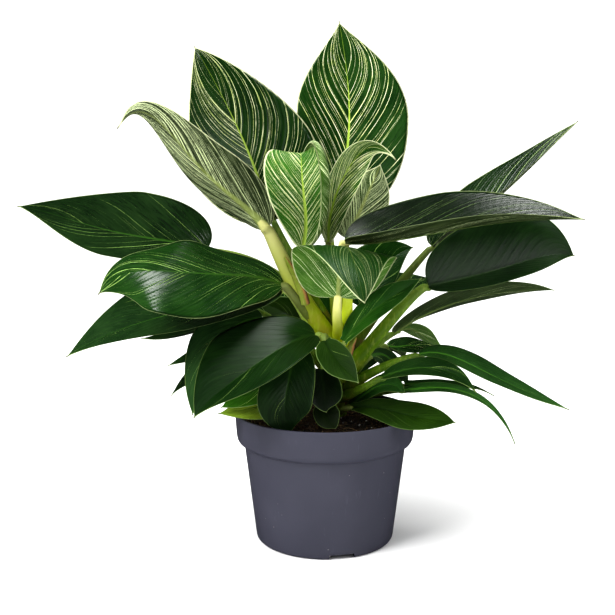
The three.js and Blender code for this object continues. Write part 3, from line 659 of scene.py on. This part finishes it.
grow("left_dark", root=112, bend=(-21, -8, 148), stalk=(3.5, 1.8), side=(-0.5, 0.6, 0.6),
     rib=[(-44, -14, 161), (-61, -20, 157), (-73, -26, 144), (-83, -34, 123), (-90, -44, 100)], width=44,
     fold=8, peak=0.5, youth=0, pale_stalk=0.1, shade=3.3)
grow("left_tip_pale", root=106, bend=(-29, 18, 132), side=(0, 0.95, 0.3),
     rib=[(-59, 22, 131), (-74, 26, 130), (-90, 30, 128), (-105, 34, 124), (-119, 38, 118)], width=32,
     fold=8, peak=0.4, stripes=0.05, youth=0.15, pale_stalk=0.1)
grow("left_tip_dark", root=100, bend=(-25, -4, 122), side=(-0.1, 0.8, 0.5),
     rib=[(-53, -2, 124), (-68, 0, 124), (-84, 2, 121), (-98, 4, 115), (-112, 6, 102)], width=32, fold=8,
     peak=0.4, stripes=0.05, youth=0.1, pale_stalk=0.1)
grow("left_low_green", root=98, bend=(-7, -12, 115), side=(-0.1, 0.8, 0.5),
     rib=[(-19, -16, 119), (-32, -22, 118), (-45, -28, 115), (-58, -34, 109), (-71, -40, 104)], width=32,
     fold=8, peak=0.45, youth=0.3, yellow=0.05, shade=2, stalk_shade=0.7)
grow("left_low_yellow", root=92, bend=(-7, -12, 101), side=(-0.1, 0.8, 0.5),
     rib=[(-18, -19, 104), (-32, -24, 103), (-45, -29, 102), (-58, -33, 100), (-73, -37, 99)], width=30,
     fold=8, peak=0.45, youth=0.6, yellow=0.7, pale_stalk=0.3, shade=2.2)
grow("front_hanging", root=104, bend=(-5, -20, 138), stalk=(3.5, 1.8), side=(-1, 0, 0),
     rib=[(-19, -28, 144), (-23, -37, 133), (-26, -43, 119), (-28, -47, 104), (-24, -48, 88)], width=38,
     fold=6, peak=0.62, tip=2.6, pale_stalk=0.1, shade=0.9)
grow("front_dark", root=96, bend=(2, -18, 124), stalk=(2.5, 1.4), side=(-1, 0, 0),
     rib=[(-3, -33, 129), (-2, -38, 121), (-1, -43, 114), (-1, -47, 108), (0, -50, 103)], width=24, fold=6,
     peak=0.5, stripes=0, pale_stalk=0.1, shade=0.26)
grow("front_soil", root=92, bend=(2, -24, 103), stalk=(2.5, 1.4), side=(-1, 0, -0.3),
     rib=[(-3, -33, 105), (-1, -38, 102), (1, -42, 98), (4, -45, 94), (6, -47, 91)], width=18, fold=10,
     peak=0.5, stripes=0, youth=0.25, yellow=0.1, pale_stalk=0.1, shade=0.24)
grow("front_small", root=110, bend=(4, -40, 150), side=(-0.6, -0.2, -0.45),
     rib=[(-1, -54, 152), (3, -59, 145), (8, -63, 139), (14, -66, 133), (20, -70, 127)], width=(20, 24),
     fold=20, peak=0.45, youth=0.3, yellow=0.1, shade=0.55, stalk_shade=0.8)
grow("centre_back", root=116, bend=(2, 14, 134), side=(1, 0, 0),
     rib=[(-5, 18, 148), (-5, 21, 157), (-4, 24, 165), (-3, 27, 174), (-1, 30, 184)], width=30, peak=0.45,
     stripes=0.1, youth=0.3, pale_stalk=0.3)
grow("back_left_green", root=118, bend=(-2, 15, 135), side=(0.5, 0.3, 0.7),
     rib=[(-9, 20, 141), (-17, 24, 150), (-25, 28, 157), (-37, 32, 163), (-50, 36, 167)], width=30,
     peak=0.45, stripes=0.1, youth=0.35, yellow=0.1, pale_stalk=0.3, shade=0.56)
grow("right_behind", root=130, bend=(20, 6, 154), stalk=(4, 2), side=(0.7, -0.2, -0.6),
     rib=[(25, 8, 167), (32, 12, 179), (40, 16, 191), (51, 20, 202), (65, 24, 209)], width=(50, 28),
     fold=10, peak=0.45, stripes=0.15, pale_stalk=0.3, shade=1.45)
grow("back_left", root=124, bend=(2, 28, 142), stalk=(4, 2), side=(0.6, 0.6, 0.1),
     rib=[(-22, 40, 150), (-45, 70, 163), (-69, 98, 168), (-91, 122, 162), (-110, 142, 148)], width=60,
     stripes=0.2)
grow("back_right", root=122, bend=(22, 20, 145), stalk=(4, 2), side=(0.7, -0.6, 0),
     rib=[(38, 45, 158), (60, 75, 172), (80, 102, 178), (97, 126, 176), (112, 146, 166)], width=60,
     stripes=0.25)
grow("back_middle", root=134, bend=(10, 22, 150), stalk=(4, 2), side=(1, 0, 0),
     rib=[(8, 48, 158), (6, 78, 178), (4, 108, 186), (1, 136, 182), (-3, 160, 168)], width=52, stripes=0.2)
grow("back_low_left", root=104, bend=(0, 18, 112), side=(0.6, 0.6, 0.1),
     rib=[(-14, 36, 112), (-34, 60, 120), (-54, 82, 120), (-72, 102, 112), (-88, 118, 98)], width=40,
     fold=10, stripes=0.05)
grow("back_low_right", root=104, bend=(16, 18, 112), side=(0.7, -0.6, 0),
     rib=[(24, 36, 112), (38, 58, 122), (50, 80, 124), (61, 98, 120), (70, 112, 110)], width=36, fold=10,
     stripes=0.05)

# The trunk and the leaf stalks: juicy green stalks, each with a shallow channel on its upper
# side, that rise from one short trunk ringed by the scars of fallen leaves. Young stalks are
# paler, and all are tinged with red-brown where they clasp the trunk.
TRUNK_FOOT = Vector((9, 4, 68)) * MM
TRUNK_TOP = Vector((11, 1, 152)) * MM
TRUNK_GIRTH = (7 * MM, 4.5 * MM)
STALK_STEPS = 26
# A stalk runs on under its blade, at these shares of the midrib, and gets thinner there.
RIB_STEPS = (0.012, 0.03, 0.055, 0.085)
RIB_GIRTHS = (1, 0.85, 0.66, 0.42, 0)


def stalk_path(leaf):
    """From inside the trunk, past the bend, and a little way along the blade's midrib."""
    share = (leaf["root"] * MM - TRUNK_FOOT.z) / (TRUNK_TOP.z - TRUNK_FOOT.z)
    start = TRUNK_FOOT.lerp(TRUNK_TOP, share)
    end = curve_at(leaf["rib"], 0)
    along = curve_direction(leaf["rib"], 0)
    bend = Vector(leaf["bend"]) * MM
    lean = end - leaf["lead"] * MM * along
    path = []
    for k in range(STALK_STEPS + 1):
        u = k / STALK_STEPS
        path.append((1 - u) ** 3 * start + 3 * u * (1 - u) ** 2 * bend
                    + 3 * u**2 * (1 - u) * lean + u**3 * end)
    return path + [curve_at(leaf["rib"], s) for s in RIB_STEPS]


def carried_frames(path, up):
    """An upward direction for each point of a path, carried along it without twist from the end."""
    frames = []
    along = (path[-1] - path[-2]).normalized()
    for k in range(len(path) - 1, -1, -1):
        after = path[min(k + 1, len(path) - 1)]
        before = path[max(k - 1, 0)]
        turned_to = (after - before).normalized()
        up = along.rotation_difference(turned_to) @ up
        up = (up - up.dot(turned_to) * turned_to).normalized()
        along = turned_to
        frames.append((along, up))
    return frames[::-1]


def trunk_and_stalks():
    bm = bmesh.new()
    bm.loops.layers.uv.new("OFBake")
    finish = bm.verts.layers.float_vector.new("finish")
    seed = bm.verts.layers.float.new("seed")
    shade = bm.verts.layers.float.new("shade")
    strips = len(leaves) + 1
    steps = STALK_STEPS + len(RIB_STEPS)

    def place_trunk(vert, v, u):
        girth = TRUNK_GIRTH[0] + (TRUNK_GIRTH[1] - TRUNK_GIRTH[0]) * v
        ring = 0.35 * MM * math.sin(2 * math.pi * (v * 13 + 0.15 * math.sin(2 * math.pi * u)))
        girth = (girth + ring) * min(1.0, 8 * (1 - v), 40 * v)
        turn = 2 * math.pi * u
        vert.co = TRUNK_FOOT.lerp(TRUNK_TOP, v) + girth * Vector((math.cos(turn), math.sin(turn), 0))
        vert[finish] = (0.15 + 0.3 * v, 0, 0.9)
        vert[shade] = 1

    rolled_skin(bm, place_trunk, rows=60, around=20, strip=(0, 0.9 / strips))
    for number, leaf in enumerate(leaves, 1):
        path = stalk_path(leaf)
        side = Vector(leaf["side"])
        along = curve_direction(leaf["rib"], 0)
        side = (side - side.dot(along) * along).normalized()
        frames = carried_frames(path, side.cross(along))
        start, end = (girth * MM for girth in leaf["stalk"])
        own_seed = random.random()

        def place(vert, v, u):
            k = round(v * steps)
            share = min(1.0, k / STALK_STEPS)
            girth = start + (end - start) * share
            girth *= 1 + 0.25 * math.exp(-((share - 0.12) / 0.09) ** 2)
            past = k - STALK_STEPS
            girth *= 0 if k == 0 else RIB_GIRTHS[max(0, past)]
            sink = girth * min(0.9, max(0.0, 0.3 * (past + 2)))
            turn = 2 * math.pi * u
            off_top = math.atan2(math.sin(turn), math.cos(turn))
            hollow = 0.2 * math.exp(-((off_top / 0.5) ** 2))
            brims = 0.06 * math.exp(-(((abs(off_top) - 0.95) / 0.3) ** 2))
            heading, up = frames[k]
            out = up * math.cos(turn) + heading.cross(up) * math.sin(turn)
            vert.co = path[k] + girth * (1 - hollow + brims) * out - sink * up
            clasp = math.exp(-((share / 0.2) ** 2))
            vert[finish] = (leaf["pale_stalk"], share, clasp)
            vert[seed] = own_seed
            # The scale of the stalk's colour holds its own tone, and painted shade where it stands in
            # shadow.
            vert[shade] = leaf["stalk_shade"]

        rolled_skin(bm, place, rows=steps, around=14, strip=(number / strips, (number + 0.9) / strips))
    return bm


def stalk_skin():
    """Waxy green to yellow-green skin with fine lengthwise fibres and a red-brown clasp, made lighter or
    darker per stalk by painted light and shade.
    """
    material, place = new_material("stalk_skin")
    pale, along, clasp = three_marks(material, "finish")
    mottle = noise_of(place, 120, 3)
    flecks = noise_of(drawn_out(place, 0.12), 700)
    green = blend(fade(mottle, 0.3, 0.7), (0.04, 0.12, 0.002), (0.08, 0.185, 0.005))
    cream = blend(fade(along, 0.1, 0.95), (0.33, 0.4, 0.002), (0.62, 0.6, 0.24))
    colour = blend(pale, green, cream)
    colour = blend(fade(flecks, 0.5, 0.75, 0, 0.3), colour, (0.45, 0.5, 0.1))
    # Each stalk's colour is scaled for its own tone and for painted light and shade.
    colour = scaled(colour, mark(material, "shade"))
    rust = times(clasp, fade(mottle, 0.42, 0.62), fade(mark(material, "seed"), 0.2, 0.9, 0.2, 0.9))
    return finished_material(material, flecks, 0.3, 0.4 * MM, {
        "Base Color": blend(rust, colour, (0.16, 0.045, 0.02)),
        "Roughness": fade(mottle, 0.3, 0.7, 0.38, 0.54),
        "Specular IOR Level": 0.2,
        "Subsurface Weight": 0.12,
        "Subsurface Scale": 4 * MM,
        "Subsurface Radius": (0.8, 1.0, 0.3),
    })


stalks = finished_piece("trunk_and_stalks", trunk_and_stalks(), stalk_skin(), "stem_and_stalks")

# The leaf blades: thin, leathery and pointed, with a midrib that is a keel underneath, side
# veins that sweep to the margin, and cream pinstripes between them, dense on young leaves and
# few on old ones. The upper face is glossy, the underside matt and greyer.
BLADE_THICKNESS = 0.8 * MM
DRIP_TIP = 1.01
BLADE_ROWS = 84
BLADE_COLUMNS = 22
VEIN_SWEEP = 0.47
PLEATS = 13


def per_half(value, t):
    if isinstance(value, tuple):
        return value[0 if t < 0 else 1]
    return value


def half_outline(leaf, s, t):
    """Half-width against its greatest: 0 at the base, 1 at the peak, 0 at the tip."""
    peak = per_half(leaf["peak"], t)
    if s < peak:
        return math.sqrt(max(0.0, 1 - ((peak - s) / peak) ** per_half(leaf["base"], t)))
    return max(0.0, 1 - ((s - peak) / (1 - peak)) ** per_half(leaf["tip"], t)) ** 1.1


def folded_section(leaf, t):
    """How far across and up a walk over the folded and curled half blade gets, and its slope."""
    fold = math.radians(per_half(leaf["fold"], t))
    curl = math.radians(per_half(leaf["curl"], t))
    roll = per_half(leaf["roll"], t)
    steps = 10
    across = up = 0.0
    for q in range(steps):
        slope = fold + curl * ((q + 0.5) / steps * abs(t)) ** roll
        across += math.cos(slope) * abs(t) / steps
        up += math.sin(slope) * abs(t) / steps
    return across, up, (fold + curl * abs(t) ** roll) * min(1.0, abs(t) * 8)


def rib_frames(leaf):
    """The midrib's place, heading, side and upper face at each row of the blade."""
    frames = []
    heading = curve_direction(leaf["rib"], 0)
    side = Vector(leaf["side"])
    for i in range(BLADE_ROWS + 1):
        s = (i / BLADE_ROWS + 0.5 - 0.5 * math.cos(math.pi * i / BLADE_ROWS)) / 2 * DRIP_TIP
        turned_to = curve_direction(leaf["rib"], s)
        side = heading.rotation_difference(turned_to) @ side
        side = (side - side.dot(turned_to) * turned_to).normalized()
        heading = turned_to
        frames.append((s, curve_at(leaf["rib"], s), heading, side, side.cross(heading)))
    return frames


def leaf_blade(leaf, number):
    bm = bmesh.new()
    bm.loops.layers.uv.new("OFBake")
    growth_place = bm.verts.layers.float_vector.new("growth_place")
    growth_look = bm.verts.layers.float_vector.new("growth_look")
    growth_size = bm.verts.layers.float_vector.new("growth_size")
    shade = bm.verts.layers.float.new("shade")
    frames = rib_frames(leaf)
    shares = [k / BLADE_COLUMNS for k in range(-BLADE_COLUMNS, BLADE_COLUMNS + 1)]
    columns = [math.copysign(0.4 * abs(q) + 0.6 * q * q, q) for q in shares]
    sections = [folded_section(leaf, t) for t in columns]
    rib_girth = leaf["stalk"][1] * MM
    length = sum((b[1] - a[1]).length for a, b in zip(frames, frames[1:]))

    def place(vert, v, u):
        s, rib, heading, side, up = frames[round(v * BLADE_ROWS)]
        step = round(u * 4 * BLADE_COLUMNS)
        face = 1 if step < 2 * BLADE_COLUMNS else -1
        if step in (0, 2 * BLADE_COLUMNS, 4 * BLADE_COLUMNS):
            face = 0
        column = step if step <= 2 * BLADE_COLUMNS else 4 * BLADE_COLUMNS - step
        t = columns[column]
        across, rise, slope = sections[column]
        shape = half_outline(leaf, s, t)
        ends = 0.0 if v in (0.0, 1.0) else 1.0
        thread = (0.4 + 4 * max(0.0, DRIP_TIP - s)) * MM
        reach = ends * max(per_half(leaf["width"], t) / 2 * MM * shape, thread)
        ripple = math.sin(2 * math.pi * (2.2 * s + 0.3 * math.copysign(1, t)))
        rise = reach * rise + leaf["wave"] * MM * t * t * ripple * shape
        rise += 1.1 * MM * t * t * shape * noise.noise(Vector((3.5 * s, t, number * 3.1)))
        pleat = math.cos(2 * math.pi * PLEATS * (s - VEIN_SWEEP * abs(t)))
        rise += 0.25 * MM * math.sin(math.pi * abs(t)) * shape * pleat
        to_tip = max(0.0, 1 - s)
        lobe = leaf["lobe"] * reach * abs(t) ** 1.6 * to_tip**5
        spot = rib + math.copysign(1, t) * reach * across * side + rise * up - lobe * heading
        normal = up * math.cos(slope) - math.copysign(1, t) * math.sin(slope) * side
        off_rib = abs(t) * reach
        keel_width = 0.5 * MM + 0.8 * rib_girth * to_tip**2
        keel = rib_girth * to_tip**2 * math.exp(-((off_rib / keel_width) ** 2))
        thickness = BLADE_THICKNESS / 2 * (1 - 0.6 * t * t) * ends
        if face > 0:
            groove = 0.35 * MM * to_tip * math.exp(-((off_rib / (1.4 * MM)) ** 2))
            spot += (thickness - ends * groove) * normal
        elif face < 0:
            spot -= (thickness + ends * keel) * normal
        vert.co = spot
        vert[growth_place] = (s, t, face)
        vert[growth_look] = (leaf["stripes"], leaf["youth"], leaf["yellow"])
        vert[growth_size] = (reach / MM, length / MM, number)
        # Each face carries a scale of its colour: the leaf's own tone, and painted light, shade and sheen
        # for how lit it looks. Undersides that face down are painted lighter.
        vert[shade] = leaf["shade"] if face > 0 else leaf["under_shade"]

    rolled_skin(bm, place, rows=BLADE_ROWS, around=4 * BLADE_COLUMNS)
    return bm


def leaf_skin():
    """Green with cream pinstripes laid out from the blade's own measures, and a paler underside."""
    material, place = new_material("leaf_skin")
    own_shade = mark(material, "shade")
    along, across, face = three_marks(material, "growth_place")
    stripes, youth, yellow = three_marks(material, "growth_look")
    reach, length, seed = three_marks(material, "growth_size")
    is_upper = fade(face, -0.02, 0.02)

    def shaded(colour):
        """Lighter or darker by the leaf's own tone and by painted light and shade, up to the paleness of
        white paper.
        """
        limit = {0: scaled(colour, own_shade), 1: (0.92, 0.92, 0.92)}
        return add_node(material.node_tree, "VectorMath", limit, operation="MINIMUM").outputs[0]

    # Each side vein sweeps from the midrib towards the tip. "vein" is the place on the midrib
    # where the vein through a spot starts, and "steep" how much it changes in a millimetre.
    r = calc("ABSOLUTE", across)
    half_seed = calc("ADD", times(seed, 3.7), times(calc("SIGN", across), 1.9))
    vein = linear(r, -VEIN_SWEEP, along)
    wander = noise_of(triple(times(vein, 4), times(r, 1.6), half_seed), 1.3)
    vein = linear(calc("SUBTRACT", wander, 0.5), 0.035, vein)
    sideways = calc("DIVIDE", VEIN_SWEEP, reach)
    lengthways = calc("DIVIDE", 1, length)
    steep = calc("SQRT", calc("ADD", times(sideways, sideways), times(lengthways, lengthways)))
    along_mm = times(along, length)
    line_width = linear(stripes, 0.9, 0.4)

    def pinstripes(rows, width, density, shift, broken):
        """Stripes that follow the side veins. Each row may hold one, of its own width and length."""
        line = linear(vein, rows, 40 + shift)
        row = calc("FLOOR", line)
        draw = {"Vector": triple(row, half_seed, shift)}
        draw = add_node(material.node_tree, "TexWhiteNoise", draw, noise_dimensions="3D").outputs["Color"]
        first, second, third = add_node(material.node_tree, "SeparateColor", {"Color": draw}).outputs
        centre = linear(calc("SUBTRACT", first, 0.5), 0.5, 0.5)
        off = calc("ABSOLUTE", calc("SUBTRACT", calc("FRACT", line), centre))
        broad = times(linear(second, 0.9, 0.5), times(line_width, width))
        broad = times(broad, linear(r, -0.5, 1.1), times(steep, rows))
        broad = calc("MINIMUM", broad, 0.24)
        inside = fade(calc("DIVIDE", off, broad), 1.2, 0.65)
        there = calc("SUBTRACT", times(density, fade(vein, 0.82, 0.5, 0.15, 1)), third)
        stop = linear(second, 0.7, linear(density, 0.5, 0.25))
        fading = fade(calc("SUBTRACT", r, stop), 0.08, -0.15)
        dashes = noise_of(triple(times(row, 5.3), times(along_mm, broken), half_seed), 1)
        return times(inside, fade(there, -0.01, 0.01), fading, fade(dashes, 0.34, 0.52, 0.25, 1))

    bold = pinstripes(19, 0.21, times(stripes, 1.1), 0.0, 0.1)
    fine = pinstripes(37, 0.14, times(stripes, 0.9), 5.0, 0.7)
    marks = calc("MAXIMUM", bold, times(fine, 0.6))

    # The upper face: dark green, brighter on young blades, with a pleat between the veins.
    cloud = noise_of(place, 35, 3)
    flecks = noise_of(triple(times(vein, 55), times(along_mm, 0.1), half_seed), 1, 3, 0.6)
    mottle = fade(calc("ADD", times(cloud, 0.5), times(flecks, 0.5)), 0.36, 0.64)
    old_green = blend(mottle, (0.0031, 0.0105, 0.0025), (0.0078, 0.0225, 0.0048))
    young_green = blend(mottle, (0.008, 0.1, 0.0002), (0.028, 0.19, 0.0008))
    yellow_green = blend(mottle, (0.11, 0.16, 0.012), (0.22, 0.27, 0.03))
    green = blend(yellow, blend(youth, old_green, young_green), yellow_green)
    pleat = linear(calc("COSINE", times(vein, 4 * math.pi * PLEATS)), 0.5, 0.5)
    lime = blend(youth, (0.025, 0.065, 0.012), (0.11, 0.3, 0.01))
    side_veins = times(fade(pleat, 0.88, 1.0), linear(r, -0.15, 0.25))
    side_veins = times(side_veins, fade(stripes, 0.1, 0.6, 0.2, 1))
    green = blend(side_veins, green, lime)
    cream = blend(fade(flecks, 0.35, 0.65), (0.62, 0.74, 0.24), (0.94, 0.97, 0.6))
    line_colour = blend(fade(stripes, 0.25, 0.6), (0.3, 0.47, 0.12), cream)
    upper = blend(marks, green, line_colour)
    off_rib = times(r, reach)
    rib_width = times(fade(along, 0.8, 0.0, 0.25, 1.5), linear(flecks, 0.8, 0.6))
    on_rib = fade(calc("DIVIDE", off_rib, rib_width), 1.15, 0.6)
    rib_share = times(on_rib, fade(along, 0.95, 0.45, 0.25, 0.9))
    rib_colour = blend(fade(stripes, 0.2, 0.7), (0.018, 0.055, 0.006), (0.36, 0.52, 0.06))
    # The upper face is scaled by the leaf's own tone and by painted light, shade and sheen.
    upper = shaded(blend(rib_share, upper, rib_colour))

    # The underside: greyer, with broad soft streaks, and paler towards the stalk.
    old_under = blend(mottle, (0.009, 0.021, 0.003), (0.023, 0.038, 0.008))
    young_under = blend(mottle, (0.018, 0.08, 0.0005), (0.042, 0.135, 0.002))
    under = blend(yellow, blend(youth, old_under, young_under), yellow_green)
    # The underside is scaled the same way, and undersides that face down get painted light from below.
    under = shaded(blend(times(fade(pleat, 0.75, 1.0), 0.15), under, (0.12, 0.17, 0.05)))
    soft = times(fade(calc("ADD", flecks, times(stripes, 0.1)), 0.5, 0.68), stripes, 0.1)
    streaks = calc("MAXIMUM", bold, times(fine, 0.7))
    under = blend(calc("MAXIMUM", soft, streaks), under, (0.8, 0.92, 0.5))
    on_keel = fade(calc("DIVIDE", off_rib, linear(along, -1.6, 2.0)), 1.1, 0.5)
    on_keel = times(on_keel, fade(along, 1.0, 0.0, 0.3, 0.9))
    under = blend(on_keel, under, blend(youth, (0.07, 0.12, 0.02), (0.45, 0.5, 0.15)))

    # Both faces end in a thin pale margin and a dry brown point, and the upper one is glossier.
    colour = blend(is_upper, under, upper)
    to_margin = times(calc("SUBTRACT", 1, r), reach)
    margin_width = times(linear(stripes, 0.6, 0.4), linear(cloud, 1.4, 0.4))
    on_margin = fade(calc("DIVIDE", to_margin, margin_width), 1.2, 0.6)
    margin_colour = blend(fade(stripes, 0, 0.7), (0.16, 0.24, 0.07), (0.72, 0.76, 0.45))
    colour = blend(times(on_margin, 0.85), colour, margin_colour)
    shine = linear(youth, 0.45, fade(stripes, 0.04, 0.13, 0.28, 0.13))
    dull = linear(is_upper, calc("SUBTRACT", shine, 0.5), 0.5)
    relief = calc("ADD", times(pleat, linear(stripes, 0.45, 0.15)), times(noise_of(place, 1400), 0.12))
    relief = calc("ADD", relief, times(marks, 0.15))
    return finished_material(material, relief, 0.45, 0.4 * MM, {
        "Base Color": blend(fade(along, 0.985, 1.01), colour, (0.11, 0.1, 0.05)),
        "Roughness": linear(cloud, 0.14, dull),
        "Specular IOR Level": 0.27,
    })


blade_material = leaf_skin()
for number, leaf in enumerate(leaves):
    blade = finished_piece("blade_" + leaf["name"], leaf_blade(leaf, number), blade_material,
                           "leaf_" + leaf["name"])

# The dry sheaths: papery red-brown strips that wrapped the leaves before they opened, and
# still cling between the stalks.
SHEATH_THICKNESS = 0.5 * MM
SHEATH_WIDTH = 5 * MM
SHEATHS = {
    "sheath_left": [(-13.6, -15.5, 170), (-16.4, -16.4, 180), (-20.5, -17.2, 190.4),
                    (-24.6, -17.8, 198), (-28.4, -17.8, 205)],
    "sheath_right": [(16, -14.5, 131), (16.4, -16.5, 137), (18.4, -18.5, 143), (21.4, -19, 149)],
}


def dry_sheath(spine, seed):
    bm = bmesh.new()
    bm.loops.layers.uv.new("OFBake")
    free_edge = bm.verts.layers.float.new("free_edge")

    def place(vert, v, u):
        centre = curve_at(spine, v)
        heading = curve_direction(spine, v, 0.02)
        across = heading.cross(Vector((0, -1, 0))).normalized()
        out = across.cross(heading)
        front = u < 0.5
        t = 4 * u - 1 if front else 3 - 4 * u
        ends = 0.0 if v in (0.0, 1.0) else 1.0
        reach = ends * (SHEATH_WIDTH / 2 * (1 - v**3) + 0.6 * MM)
        ragged = 0.9 * MM * noise.noise(Vector((v * 9, t, seed)))
        cup = -1.2 * MM * t * t + ends * ragged * abs(t)
        thickness = ends * SHEATH_THICKNESS / 2 * (1 - t * t) * (1 if front else -1)
        vert.co = centre + reach * t * across + (cup + thickness) * out
        vert[free_edge] = (t + 1) / 2

    rolled_skin(bm, place, rows=30, around=24)
    return bm


def dry_skin():
    """Drying tissue, green on the side that clings and rust red on the free edge."""
    material, place = new_material("dry_skin")
    threads = noise_of(drawn_out(place, 0.15), 1100, 3)
    ragged = linear(noise_of(place, 150, 3), 0.5, mark(material, "free_edge"))
    colour = blend(fade(ragged, 0.75, 1.05), (0.15, 0.2, 0.015), (0.3, 0.15, 0.04))
    colour = blend(fade(ragged, 1.0, 1.25), colour, (0.11, 0.022, 0.01))
    colour = blend(fade(threads, 0.45, 0.75, 0, 0.3), colour, (0.42, 0.3, 0.14))
    return finished_material(material, threads, 0.5, 0.3 * MM, {"Base Color": colour, "Roughness": 0.75})


dry_material = dry_skin()
for name, spine in SHEATHS.items():
    sheath = finished_piece(name + "_skin", dry_sheath(spine, len(name)), dry_material, name)
